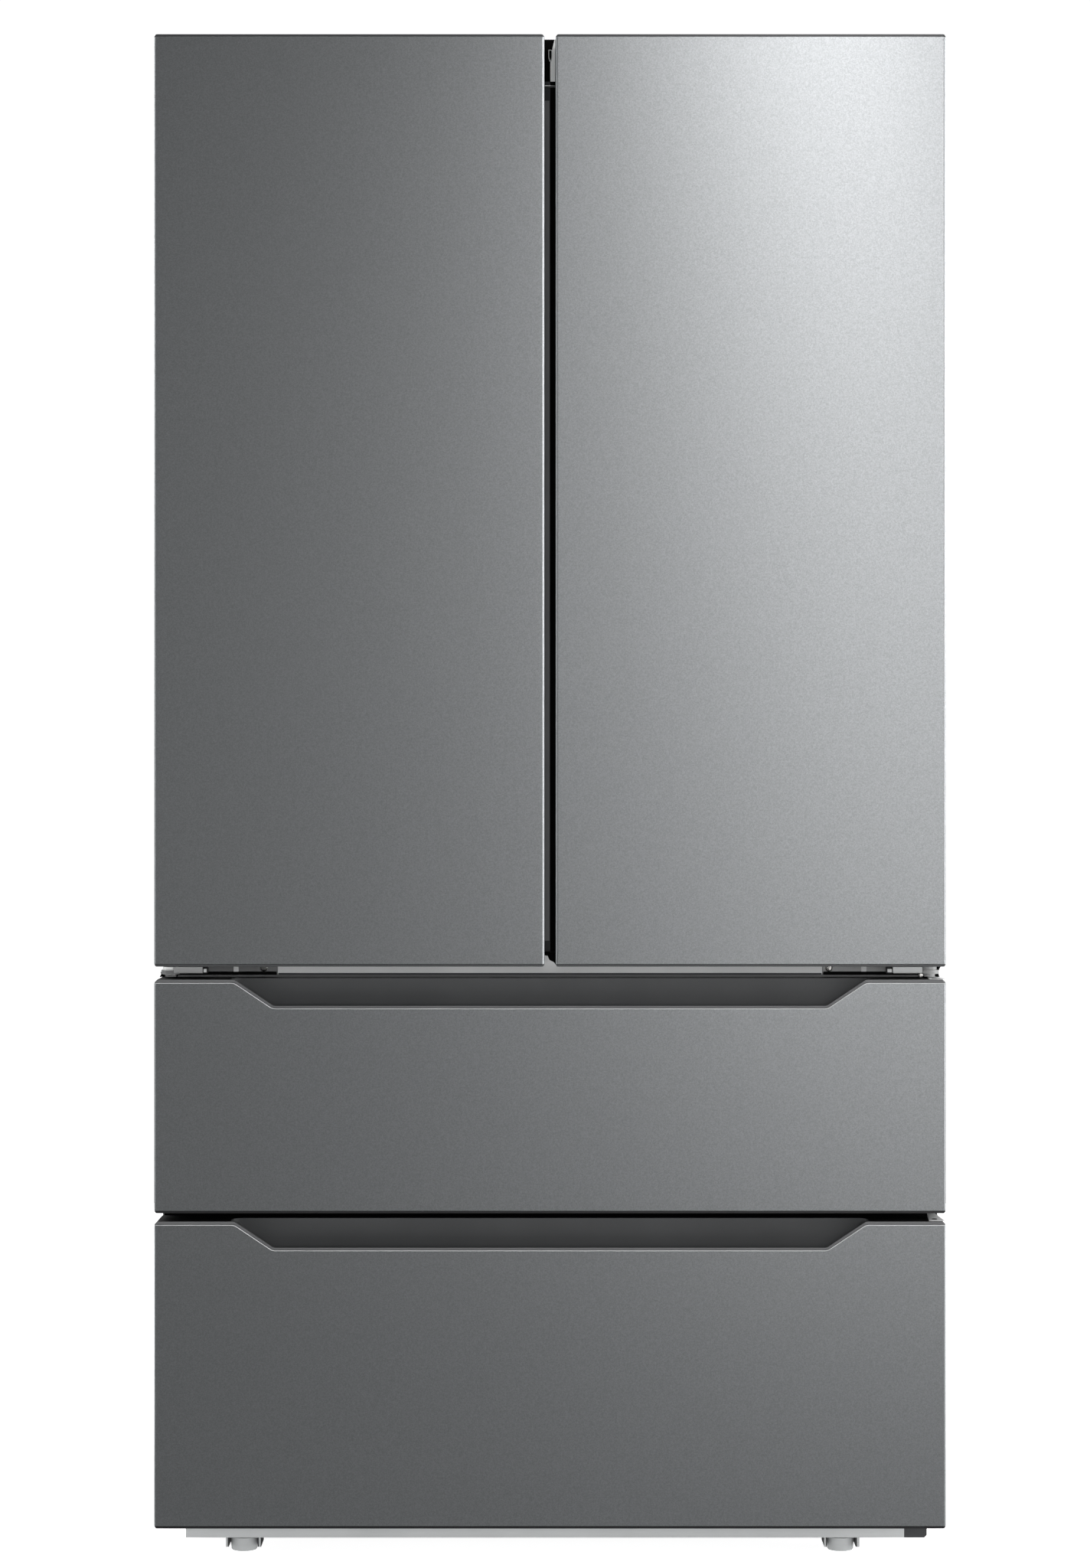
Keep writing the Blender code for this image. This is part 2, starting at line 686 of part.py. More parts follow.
def door_core(name, side, x, z):
    """Foam-filled inner door: flat back with a raised border that holds the bins."""
    inset = SHEET + GAP
    (x0, x1), (z0, z1) = x, z
    border_x = span(side, 0.047, 0.398)
    border_z = (0.722, 1.706)
    ridge = DOOR_BACK + 0.028
    width, draft = 0.020, 0.004
    (a0, a1), (b0, b1) = border_x, border_z
    bend = 0.0014

    def border(narrower, y):
        return rect_xz(a0 + narrower, a1 - narrower, b0 + narrower, b1 - narrower, y)

    loops = [
        rect_xz(x0 + inset + bend, x1 - inset - bend, z0, z1, FRONT + inset),
        rect_xz(x0 + inset, x1 - inset, z0, z1, FRONT + inset + bend),
        rect_xz(x0 + inset, x1 - inset, z0, z1, DOOR_BACK),
        border(0, DOOR_BACK),
        border(draft, ridge),
        border(width, ridge),
        border(width + draft, DOOR_BACK + 0.006),
    ]
    return loft(name, loops, "white_liner")


def door_bin(name, side, level):
    x0, x1 = span(side, 0.0715, 0.3735)
    low, high = (x0, DOOR_BACK + 0.0065, level), (x1, -0.186, level + 0.100)
    return tray(name, low, high, 0.0025, "clear_plastic", 0.003)


def door(side, label):
    """Everything that swings with one door, apart from the flipper."""
    x = span(side, CENTRE_GAP / 2, HALF)
    lip_low, lip_high = 0.0024, 0.0026
    plug = 0.0080
    low, high = DOOR_Z
    skin = steel_front(f"{label}_door_skin", x, (low + lip_low + GAP, high - lip_high - GAP))
    top = end_cap(f"{label}_door_top_cap", x, (high - lip_high - plug, high), lip_high, True)
    bottom = end_cap(f"{label}_door_bottom_cap", x, (low, low + lip_low + plug), lip_low, False)
    core_z = (low + lip_low + plug + GAP, high - lip_high - plug - GAP)
    core = door_core(f"{label}_door_core", side, x, core_z)
    cut(top, hinge_bore(f"cut_{label}_top_cap", side, 1.740, 1.780))
    cut(bottom, hinge_bore(f"cut_{label}_bottom_cap", side, 0.680, 0.720))
    cut(
        core,
        hinge_bore(f"cut_{label}_core_low", side, 0.690, 0.7055),
        hinge_bore(f"cut_{label}_core_high", side, 1.7430, 1.760),
    )
    gasket = frame_ring(
        f"{label}_door_gasket",
        span(side, CENTRE_GAP / 2 + 0.006, HALF - 0.0125),
        (low + 0.004, high - 0.010),
        0.014,
        (DOOR_BACK + GAP, CASE_FRONT - GAP),
        "gasket",
    )
    bins = [door_bin(f"{label}_door_bin_{word}", side, level) for word, level in DOOR_BINS.items()]
    hinge = axis_empty(f"{label}_door_axis", (side * PIN_X, PIN_Y, 0))
    carry(hinge, skin, top, bottom, core, gasket, *bins)
    return hinge


def flipper():
    """Folding bar on the left door that both centre gaskets close on."""
    depth = (CASE_FRONT + GAP, CASE_FRONT + 0.018)
    bar = box("flipper_bar", (-0.0335, 0.0300), depth, (0.7026, 1.7139), "dark_plastic")
    peg = turned_z("flipper_peg", -0.012, -0.292, [(0.003, 1.7100), (0.003, 1.7180)], steps=12)
    fuse(bar, peg)
    carry(axis_empty("flipper_axis", (*FLIPPER_AXIS, 0)), bar)


def drawer_core(name, z):
    """Foam-filled inner front with the bottom lip and a raised border inside the gasket."""
    inset = SHEET + GAP
    half, bend = HALF - inset, 0.0014
    low, high = z
    body = loft(
        name,
        [
            rect_xz(-half + bend, half - bend, low, high, FRONT + inset),
            rect_xz(-half, half, low, high, FRONT + inset + bend),
            rect_xz(-half, half, low, high, DOOR_BACK),
            rect_xz(-0.398, 0.398, low + 0.065, high - 0.004, DOOR_BACK),
            rect_xz(-0.394, 0.394, low + 0.069, high - 0.008, DOOR_BACK + 0.022),
        ],
        "white_liner",
    )
    whole = (-HALF, HALF)
    lip = loft(f"{name}_lip", [brim_plan(whole, low, LIP_TRIM), brim_plan(whole, low + 0.0023)], None)
    return fuse(body, lip)


def pocket_loop(half_top, half_bottom, top, bottom, inset, y):
    """One section of the finger pocket, drawn in by inset, as it closes towards its back."""
    wide, narrow = half_top - inset, half_bottom - inset / 2
    corners = [
        (-wide, top + 0.030, 0),
        (-wide, top - 0.004, 0.003),
        (-narrow, bottom + inset, 0.010),
        (narrow, bottom + inset, 0.010),
        (wide, top - 0.004, 0.003),
        (wide, top + 0.030, 0),
    ]
    return [(x, y, z) for x, z in filleted(corners)]


def drawer_handle(name, top):
    """Plastic top of a drawer front, with the finger pocket moulded in."""
    inset = SHEET + GAP
    lip = 0.0038
    steel_top = top - lip
    low = steel_top - NOTCH_DEPTH - POCKET_REACH - 0.006
    x, edge = (-HALF, HALF), steel_top + GAP
    handle = loft(name, [plug_plan(x, low), plug_plan(x, edge + 0.0008)], "grey_plastic")
    fuse(handle, loft(f"{name}_brim", [brim_plan(x, edge), brim_plan(x, top, 0.0035)], None))
    rise = RIM / math.cos(math.atan2(NOTCH_DEPTH, NOTCH_HALF_TOP - NOTCH_HALF_BOTTOM))
    run = (NOTCH_HALF_TOP - NOTCH_HALF_BOTTOM) / NOTCH_DEPTH
    rim_bottom = steel_top - NOTCH_DEPTH + RIM
    half_bottom = NOTCH_HALF_BOTTOM + run * (RIM - rise)
    half_top = half_bottom + run * (top - rim_bottom)
    window = prism_y(
        f"cut_{name}_window",
        notch_outline(top, rim_bottom, half_top, half_bottom, NOTCH_RADIUS - RIM),
        FRONT - 0.01,
        FRONT + inset + 0.010,
    )
    front_wall = FRONT + inset + 0.0035
    back_wall = front_wall + POCKET_THICK
    scoop = 0.012
    loops = [pocket_loop(half_top + 0.004, half_bottom, top, low + 0.006, 0.0, front_wall)]
    for k in range(4):
        turn = math.pi / 2 * k / 3
        inset, y = scoop * (1 - math.cos(turn)), back_wall - scoop * (1 - math.sin(turn))
        loops.append(pocket_loop(half_top + 0.004, half_bottom, top, low + 0.006, inset, y))
    return cut(handle, window, loft(f"cut_{name}_pocket", loops, None))


def drawer_frame(name, level, rear):
    """Steel frame: an arm on each side and a bar across behind the front."""
    outer, inner = 0.3918, 0.3832
    front = DOOR_BACK + 0.022 + GAP
    outline = [
        (-outer, front),
        (outer, front),
        (outer, rear),
        (inner, rear),
        (inner, front + 0.006),
        (-inner, front + 0.006),
        (-inner, rear),
        (-outer, rear),
    ]
    return prism_z(name, outline, level - 0.013, level + 0.013, "steel_part")


def slide_member(name, side, level, rear):
    """The middle member of a telescopic slide; it moves half as far as its drawer."""
    x, z = span(side, 0.3926, 0.4020), (level - 0.0150, level + 0.0150)
    return box(name, x, (-0.285, rear), z, "steel_part")


def drawer(label, z, rear, bin_z, gasket_z):
    """One freezer drawer with its frame, bin and the middle members of its slides."""
    low, high = z
    lip_low, lip_high = 0.0026, 0.0038
    steel = (low + lip_low, high - lip_high)
    skin = steel_front(f"{label}_drawer_skin", (-HALF, HALF), steel)
    notch = notch_outline(steel[1], steel[1] - NOTCH_DEPTH, NOTCH_HALF_TOP, NOTCH_HALF_BOTTOM, NOTCH_RADIUS)
    cut(skin, prism_y(f"cut_{label}_notch", notch, FRONT - 0.01, FRONT + 0.01))
    handle = drawer_handle(f"{label}_drawer_handle", high)
    handle_low = steel[1] - NOTCH_DEPTH - POCKET_REACH - 0.006
    core = drawer_core(f"{label}_drawer_core", (low, handle_low - GAP))
    gasket = frame_ring(
        f"{label}_drawer_gasket",
        (-HALF + 0.010, HALF - 0.010),
        gasket_z,
        0.014,
        (DOOR_BACK + GAP, CASE_FRONT - GAP),
        "gasket",
    )
    level = SLIDE_Z[label]
    frame = drawer_frame(f"{label}_drawer_frame", level, rear - 0.010)
    bin_half = 0.3822
    bin_body = tray(
        f"{label}_drawer_bin",
        (-bin_half, DOOR_BACK + 0.030, bin_z[0]),
        (bin_half, rear, bin_z[1]),
        0.003,
        "clear_plastic",
        0.006,
    )
    axis = axis_empty(f"{label}_drawer_axis", (0, FRONT, level))
    carry(axis, skin, handle, core, gasket, frame, bin_body)
    left = slide_member(f"{label}_slide_left", -1, level, rear - 0.005)
    right = slide_member(f"{label}_slide_right", 1, level, rear - 0.005)
    carry(axis_empty(f"{label}_slide_axis", (0, FRONT, level)), left, right)


def leveling_foot(side, label):
    """Turned pad on a threaded stem; turning it levels the front."""
    profile = [
        (0.0145, 0.0),
        (0.0152, 0.0015),
        (0.0160, 0.0120),
        (0.0160, 0.0165),
        (0.0060, 0.0185),
        (0.0050, 0.0200),
        (0.0050, 0.0438),
    ]
    foot = turned_z(f"{label}_leveling_foot", FOOT_X[side], FOOT_Y, profile, "light_grey")
    carry(axis_empty(f"{label}_foot_axis", (FOOT_X[side], FOOT_Y, 0)), smooth(foot))


def rear_roller(side, label):
    x = side * ROLLER_X
    name, centre = f"{label}_rear_roller", (ROLLER_Y, ROLLER_RADIUS)
    roller = tube_x(name, x - 0.0110, x + 0.0110, *centre, ROLLER_RADIUS, 0.0045, "black_plastic")
    carry(axis_empty(f"{label}_roller_axis", (x, ROLLER_Y, ROLLER_RADIUS)), smooth(roller))


def main():
    for obj in list(bpy.data.objects):
        bpy.data.objects.remove(obj)
    cabinet_wrapper()
    cabinet_foam()
    fresh_food_liner()
    freezer_liner()
    rear_panel()
    machine_cover()
    base_frame()
    toe_grille()
    center_rail()
    freezer_crossbar()
    flipper_guide()
    compressor()
    evaporator_coil()
    evaporator_cover()
    shelf("glass_shelf_lower", SHELF_Z[0])
    shelf("glass_shelf_upper", SHELF_Z[1])
    crisper_cover()
    for side, label in ((-1, "left"), (1, "right")):
        top_hinge(side, f"top_hinge_{label}")
        hinge_cover(side, f"hinge_cover_{label}")
        middle_hinge(side, f"middle_hinge_{label}")
        door(side, label)
        leveling_foot(side, label)
        rear_roller(side, label)
        slide = axis_empty(f"{label}_crisper_axis", (side * 0.2, CRISPER_FRONT, 0.72))
        carry(slide, crisper(side, f"{label}_crisper"))
    flipper()
    drawer("upper", UPPER_Z, 0.200, (0.436, 0.616), (UPPER_Z[0] + 0.010, UPPER_Z[1] - 0.010))
    drawer("lower", LOWER_Z, 0.095, (0.110, 0.350), (LOWER_Z[0] + 0.010, LOWER_Z[1] - 0.010))


main()
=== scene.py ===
"""French door refrigerator: the finished look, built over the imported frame."""

import json
import math

import bmesh
import bpy
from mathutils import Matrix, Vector


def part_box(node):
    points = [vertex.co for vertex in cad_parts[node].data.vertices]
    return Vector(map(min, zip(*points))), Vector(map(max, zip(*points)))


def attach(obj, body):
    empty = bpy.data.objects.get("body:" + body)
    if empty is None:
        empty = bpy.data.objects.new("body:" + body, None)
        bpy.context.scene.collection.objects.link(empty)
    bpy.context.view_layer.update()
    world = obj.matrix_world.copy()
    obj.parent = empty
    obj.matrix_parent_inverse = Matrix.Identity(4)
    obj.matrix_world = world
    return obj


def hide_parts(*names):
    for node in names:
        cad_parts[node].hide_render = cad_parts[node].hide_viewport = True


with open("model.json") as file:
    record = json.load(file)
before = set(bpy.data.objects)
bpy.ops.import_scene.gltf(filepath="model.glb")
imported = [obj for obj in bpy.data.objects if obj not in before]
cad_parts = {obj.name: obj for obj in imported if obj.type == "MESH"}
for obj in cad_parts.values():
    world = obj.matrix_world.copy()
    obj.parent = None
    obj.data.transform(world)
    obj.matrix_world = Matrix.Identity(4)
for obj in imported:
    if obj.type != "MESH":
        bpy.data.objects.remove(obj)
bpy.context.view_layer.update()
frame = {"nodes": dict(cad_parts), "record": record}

NODES = frame["nodes"]
SLOT_OF = {entry["node"]: entry["material_slot"] for entry in frame["record"]["subparts"]}
BODIES = frame["record"]["behaviour"]["bodies"]
BODY_OF = {node: body for body, members in BODIES.items() for node in members}


# ------------------------------------------------------------------ materials
RANGE_SOCKETS = ("From Min", "From Max", "To Min", "To Max")
NOISE_RANGE = (0.3, 0.7)  # where most of a noise texture's values lie


class Nodes:
    """A material's node tree, with short calls for the nodes used here."""

    def __init__(self, name, colour, roughness, metallic=0.0):
        self.material = bpy.data.materials.new(name)
        self.material.use_nodes = True
        self.tree = self.material.node_tree
        self.shader = self.tree.nodes["Principled BSDF"]
        self.set("Base Color", (*colour, 1.0))
        self.set("Roughness", roughness)
        self.set("Metallic", metallic)
        self.coords = self.tree.nodes.new("ShaderNodeTexCoord").outputs["Object"]
        self.colour, self.roughness = colour, roughness

    def set(self, socket, value):
        self.shader.inputs[socket].default_value = value

    def link(self, out, into):
        self.tree.links.new(out, into)

    def noise(self, scale, detail=2.0, stretch=(1, 1, 1)):
        node = self.tree.nodes.new("ShaderNodeTexNoise")
        node.inputs["Scale"].default_value = scale
        node.inputs["Detail"].default_value = detail
        source = self.coords
        if stretch != (1, 1, 1):
            mapping = self.tree.nodes.new("ShaderNodeMapping")
            mapping.inputs["Scale"].default_value = stretch
            self.link(self.coords, mapping.inputs["Vector"])
            source = mapping.outputs["Vector"]
        self.link(source, node.inputs["Vector"])
        return node.outputs["Fac"]

    def mottle(self, fac, spread):
        """Base colour that swings by spread to each side of the set colour."""
        ramp = self.tree.nodes.new("ShaderNodeValToRGB")
        ends = ramp.color_ramp.elements
        ends[0].position, ends[1].position = NOISE_RANGE
        for element, factor in zip(ends, (1 - spread, 1 + spread)):
            element.color = (*[min(1.0, c * factor) for c in self.colour], 1.0)
        self.link(fac, ramp.inputs["Fac"])
        self.link(ramp.outputs["Color"], self.shader.inputs["Base Color"])

    def rough(self, fac, spread):
        """Roughness that swings by spread to each side of the set one."""
        low, high = max(0.0, self.roughness - spread), min(1.0, self.roughness + spread)
        swing = self.tree.nodes.new("ShaderNodeMapRange")
        for socket, value in zip(RANGE_SOCKETS, (*NOISE_RANGE, low, high)):
            swing.inputs[socket].default_value = value
        self.link(fac, swing.inputs["Value"])
        self.link(swing.outputs["Result"], self.shader.inputs["Roughness"])

    def bump(self, fac, depth):
        """Relief of that depth in metres."""
        node = self.tree.nodes.new("ShaderNodeBump")
        node.inputs["Strength"].default_value = 1.0
        node.inputs["Distance"].default_value = depth
        self.link(fac, node.inputs["Height"])
        self.link(node.outputs["Normal"], self.shader.inputs["Normal"])


def satin_steel():
    """Fine-grained stainless sheet."""
    made = Nodes("satin_steel", (0.489, 0.510, 0.521), 0.52, 1.0)
    grain = made.noise(850, 4.0)
    made.mottle(grain, 0.15)
    made.rough(made.noise(300, 2.0), 0.03)
    made.bump(grain, 0.000012)
    return made.material


def moulded(name, colour, roughness=0.5, spread=0.06, specular=0.5):
    """Textured moulded plastic."""
    made = Nodes(name, colour, roughness)
    made.set("Specular IOR Level", specular)
    grain = made.noise(900, 2.0)
    made.mottle(made.noise(14, 3.0), spread)
    made.rough(grain, 0.06)
    made.bump(grain, 0.00003)
    return made.material


def case_paint():
    """Grey paint with a slight orange peel."""
    made = Nodes("case_paint", (0.165, 0.168, 0.173), 0.42)
    made.set("Coat Weight", 0.15)
    made.set("Coat Roughness", 0.35)
    peel = made.noise(420, 2.0)
    made.mottle(made.noise(9, 4.0), 0.03)
    made.rough(made.noise(60, 2.0), 0.04)
    made.bump(peel, 0.00004)
    return made.material


def white_liner():
    """Smooth vacuum-formed plastic."""
    made = Nodes("white_liner", (0.74, 0.754, 0.76), 0.32)
    made.mottle(made.noise(6, 3.0), 0.012)
    made.rough(made.noise(35, 2.0), 0.02)
    made.bump(made.noise(160, 2.0), 0.000004)
    return made.material


def plated_metal(name, colour, roughness):
    """Bare or plated metal with faint drawn lines."""
    made = Nodes(name, colour, roughness, 1.0)
    made.mottle(made.noise(45, 4.0), 0.10)
    made.rough(made.noise(90, 3.0), 0.08)
    made.bump(made.noise(500, 2.0, (1, 6, 1)), 0.00001)
    return made.material


def rigid_foam():
    """Yellowish cellular foam."""
    made = Nodes("rigid_foam", (0.74, 0.67, 0.44), 0.9)
    cells = made.noise(260, 4.0)
    made.mottle(cells, 0.10)
    made.bump(cells, 0.0004)
    return made.material


def rubber_seal():
    """Soft grey rubber."""
    made = Nodes("rubber_seal", (0.150, 0.152, 0.157), 0.62)
    made.mottle(made.noise(25, 3.0), 0.08)
    made.bump(made.noise(700, 2.0), 0.00002)
    return made.material


def clear(name, colour, roughness, ior, ripple_scale):
    """Glass or clear plastic, with a gloss that changes a little over it."""
    made = Nodes(name, colour, roughness)
    made.set("Transmission Weight", 0.92)
    made.set("IOR", ior)
    made.rough(made.noise(ripple_scale, 2.0), 0.02)
    return made.material


def black_enamel():
    """Black paint on steel."""
    made = Nodes("black_enamel", (0.018, 0.018, 0.019), 0.42)
    made.mottle(made.noise(30, 3.0), 0.2)
    made.rough(made.noise(120, 2.0), 0.08)
    made.bump(made.noise(300, 2.0), 0.00004)
    return made.material


MATERIALS = {
    "stainless": satin_steel(),
    "case_paint": case_paint(),
    "dark_plastic": moulded("dark_plastic", (0.044, 0.046, 0.048)),
    "grey_plastic": moulded("grey_plastic", (0.094, 0.096, 0.098)),
    # painted shade: a darker grey for the handle pockets, where the recess is in shade
    "pocket_shade_grey": moulded("pocket_shade_grey", (0.062, 0.064, 0.066), 0.6),
    "light_grey": moulded("light_grey", (0.44, 0.452, 0.454)),
    "black_plastic": moulded("black_plastic", (0.012, 0.012, 0.013)),
    "white_liner": white_liner(),
    "foam": rigid_foam(),
    "gasket": rubber_seal(),
    "steel_part": plated_metal("plated_steel", (0.55, 0.56, 0.58), 0.33),
    "black_steel": black_enamel(),
    "glass": clear("shelf_glass", (0.86, 0.94, 0.92), 0.03, 1.5, 20),
    "clear_plastic": clear("clear_plastic", (0.84, 0.89, 0.92), 0.12, 1.45, 60),
    "aluminium_tube": plated_metal("bare_aluminium", (0.66, 0.67, 0.68), 0.38),
    # painted light and shade: lit and shaded greys for the hinges, darker on the left and lighter on the
    # right, where the light comes from
    "hinge_shaded_grey": moulded("hinge_shaded_grey", (0.20, 0.203, 0.205), 0.45),
    "hinge_lit_grey": moulded("hinge_lit_grey", (0.36, 0.365, 0.365), 0.45),
    "flipper_grey": moulded("flipper_grey", (0.190, 0.194, 0.197)),
    "rail_grey": moulded("rail_grey", (0.78, 0.79, 0.79)),
    # painted shade: a near-zero black for strips, pads and plates put where the gaps only hold shade
    "painted_shade_black": moulded("painted_shade_black", (0.003, 0.003, 0.003), 0.8, spread=0.2, specular=0.05),
    "led_lens": moulded("led_lens", (0.86, 0.87, 0.86), 0.55, spread=0.01),
    "plate_grey": moulded("plate_grey", (0.53, 0.545, 0.545)),
    # painted highlight: light grey for the drawer fronts' upward edge faces
    "painted_highlight_grey": moulded("painted_highlight_grey", (0.60, 0.61, 0.615), 0.4),
    "nylon": moulded("nylon", (0.94, 0.95, 0.94), 0.35, spread=0.02),
    "screw": plated_metal("screw_zinc", (0.62, 0.62, 0.60), 0.28),
    "white_plastic": moulded("white_plastic", (0.78, 0.79, 0.79), 0.4, spread=0.02),
}


# ------------------------------------------------------------------ shape tools
SHARP_EDGE = math.radians(30.0)  # edges that turn more than this are rounded
HAIR = 0.0001  # metres between a thin strip and the face behind it
FORWARDS, BACKWARDS, UP = (0, -1, 0), (0, 1, 0), (0, 0, 1)


def finish_mesh(bm, name, material, body, angle=38.0):
    """Makes the piece from bm and hangs it on its body; edges over angle degrees stay sharp."""
    bmesh.ops.recalc_face_normals(bm, faces=bm.faces)
    mesh = bpy.data.meshes.new(name)
    bm.to_mesh(mesh)
    bm.free()
    mesh.shade_smooth()
    mesh.set_sharp_from_angle(angle=math.radians(angle))
    obj = bpy.data.objects.new(name, mesh)
    bpy.context.scene.collection.objects.link(obj)
    mesh.materials.append(MATERIALS[material])
    modifier = obj.modifiers.new("normals", "WEIGHTED_NORMAL")
    modifier.keep_sharp = True
    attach(obj, body)
    return obj


def bevel_sharp(bm, width, segments=2):
    """Rounds every sharp edge to that width in metres."""
    chosen = []
    for edge in bm.edges:
        if len(edge.link_faces) == 2 and edge.calc_face_angle(0.0) > SHARP_EDGE:
            chosen.append(edge)
    bmesh.ops.bevel(
        bm,
        geom=chosen,
        offset=width,
        offset_type="OFFSET",
        segments=segments,
        profile=0.5,
        affect="EDGES",
        clamp_overlap=True,
    )


def clean_copy(node):
    """The CAD node's mesh with its flat faces whole again."""
    weld, flat = 3e-6, math.radians(0.4)
    bm = bmesh.new()
    bm.from_mesh(NODES[node].data)
    bmesh.ops.remove_doubles(bm, verts=bm.verts, dist=weld)
    bmesh.ops.dissolve_limit(bm, angle_limit=flat, verts=bm.verts, edges=bm.edges)
    return bm


def refine(node, edge, segments=2, material=None):
    """A copy of a CAD node with rounded edges that stands for it."""
    bm = clean_copy(node)
    bevel_sharp(bm, edge, segments)
    obj = finish_mesh(bm, f"{node}_v", material or SLOT_OF[node], BODY_OF[node])
    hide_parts(node)
    return obj


def lathe(name, profile, centre, axis, material, body, steps=64):
    """Turns (radius, distance) points round an axis through centre."""
    bm = bmesh.new()
    rings = []
    for radius, along in profile:
        ring = []
        for k in range(steps):
            a = 2 * math.pi * k / steps
            u, v = radius * math.cos(a), radius * math.sin(a)
            point = {"x": (along, u, v), "y": (u, along, v), "z": (u, v, along)}[axis]
            ring.append(bm.verts.new(Vector(point) + Vector(centre)))
        rings.append(ring)
    for low, high in zip(rings, rings[1:]):
        for i in range(steps):
            j = (i + 1) % steps
            bm.faces.new((low[i], low[j], high[j], high[i]))
    bm.faces.new(rings[0])
    bm.faces.new(rings[-1])
    return finish_mesh(bm, name, material, body, angle=30.0)


def block(name, x, y, z, material, body="cabinet", *, edge, segments=2):
    """A box over three ranges, with rounded edges."""
    spans = (x, y, z)
    bm = bmesh.new()
    bmesh.ops.create_cube(bm, size=1.0)
    for vert in bm.verts:
        vert.co = [low + (part + 0.5) * (high - low) for part, (low, high) in zip(vert.co, spans)]
    bevel_sharp(bm, edge, segments)
    finish_mesh(bm, name, material, body)


def proud(face, rise=0.0009):
    """The Y range of a thin strip on a face that looks along -Y."""
    return face - rise, face - HAIR


def prism(name, outline, axis, ends, material, body="cabinet", *, edge):
    """Extrudes an outline along an axis, between two ends, and rounds its edges."""
    place = {
        "x": lambda a, b, c: (c, a, b),
        "y": lambda a, b, c: (a, c, b),
        "z": lambda a, b, c: (a, b, c),
    }[axis]
    bm = bmesh.new()
    near, far = [[bm.verts.new(place(a, b, c)) for a, b in outline] for c in ends]
    bm.faces.new(near)
    bm.faces.new(far[::-1])
    for i in range(len(outline)):
        j = (i + 1) % len(outline)
        bm.faces.new((near[i], near[j], far[j], far[i]))
    bmesh.ops.recalc_face_normals(bm, faces=bm.faces)
    bevel_sharp(bm, edge)
    finish_mesh(bm, name, material, body)


def screw(name, place, facing, radius):
    """A pan-head screw of the cabinet with a cross recess; facing is the way its head looks."""
    steps, arm, waist = 32, 0.60, 0.20
    star = [arm if k % 8 in (0, 1, 7) else waist for k in range(steps)]
    rings = []
    for scale, height in ((1.0, 0.0), (1.0, 0.16), (0.92, 0.34), (0.80, 0.44), (0.68, 0.49)):
        rings.append([(scale, height)] * steps)
    rings.append([(part, 0.50) for part in star])
    rings.append([(part * 0.8, 0.22) for part in star])
    turn = Vector(facing).to_track_quat("Z", "Y")
    bm = bmesh.new()
    made = []
    for ring in rings:
        verts = []
        for k, (scale, height) in enumerate(ring):
            a = 2 * math.pi * k / steps
            local = Vector((scale * math.cos(a), scale * math.sin(a), height)) * radius
            verts.append(bm.verts.new(Vector(place) + turn @ local))
        made.append(verts)
    for low, high in zip(made, made[1:]):
        for i in range(steps):
            j = (i + 1) % steps
            bm.faces.new((low[i], low[j], high[j], high[i]))
    bm.faces.new(made[0][::-1])
    bm.faces.new(made[-1])
    finish_mesh(bm, name, "screw", "cabinet", angle=40.0)


def louvres(name, x, z, face, slats, depth):
    """A bezel with slats across it, and behind them a black plate of painted shade for the dark inside of
    the vent; it stands on a face and looks along -Y.
    """
    (x0, x1), (z0, z1) = x, z
    rim, half_slat, inset = 0.004, 0.0012, 0.001
    bars = [(x, (z0, z0 + rim)), (x, (z1 - rim, z1))]
    sides = (z0 + rim, z1 - rim)
    bars += [((x0, x0 + rim), sides), ((x1 - rim, x1), sides)]
    step = (z1 - z0 - 2 * rim) / slats
    for k in range(1, slats):
        middle = z0 + rim + k * step
        bars.append(((x0 + rim, x1 - rim), (middle - half_slat, middle + half_slat)))
    for k, (across, tall) in enumerate(bars):
        block(f"{name}_bar_{k}", across, (face - depth, face), tall, "white_liner", edge=0.0005)
    # painted shade: black plate behind the slats
    across, tall = (x0 + inset, x1 - inset), (z0 + inset, z1 - inset)
    block(f"{name}_painted_dark_inside", across, (face - 0.0012, face - 0.0002), tall, "black_plastic", edge=0.0002)


def seal_ring(node, section):
    """A mitred rubber frame: section holds (inwards, along Y) points round its profile."""
    low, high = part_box(node)
    bm = bmesh.new()
    rings = []
    for inwards, y in section:
        x0, x1, z0, z1 = low.x + inwards, high.x - inwards, low.z + inwards, high.z - inwards
        rings.append([bm.verts.new((x, y, z)) for x, z in ((x0, z0), (x1, z0), (x1, z1), (x0, z1))])
    for here, there in zip(rings, rings[1:] + rings[:1]):
        for i in range(4):
            j = (i + 1) % 4
            bm.faces.new((here[i], here[j], there[j], there[i]))
    obj = finish_mesh(bm, f"{node}_v", "gasket", BODY_OF[node], angle=50.0)
    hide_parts(node)


# ------------------------------------------------------------------ every piece
LEVELS = ("upper", "lower")
SIDES = ("left", "right")
SIGN = {"left": -1, "right": 1}


def gaskets():
    """The magnetic gaskets: a base on the door, a narrow waist and a wide lip on the cabinet."""
    base, lip = -0.3097, -0.3023
    shape = [
        (0.003, 0.00),
        (0.011, 0.00),
        (0.0118, 0.10),
        (0.0118, 0.25),
        (0.0106, 0.34),
        (0.0106, 0.44),
        (0.0132, 0.56),
        (0.0140, 0.72),
        (0.0136, 0.90),
        (0.0124, 1.00),
        (0.0020, 1.00),
        (0.0005, 0.90),
        (0.0000, 0.72),
        (0.0008, 0.56),
        (0.0034, 0.44),
        (0.0034, 0.34),
        (0.0022, 0.25),
        (0.0022, 0.10),
    ]
    section = [(inwards, base + part * (lip - base)) for inwards, part in shape]
    for front in ("left_door", "right_door", "upper_drawer", "lower_drawer"):
        seal_ring(f"{front}_gasket", section)


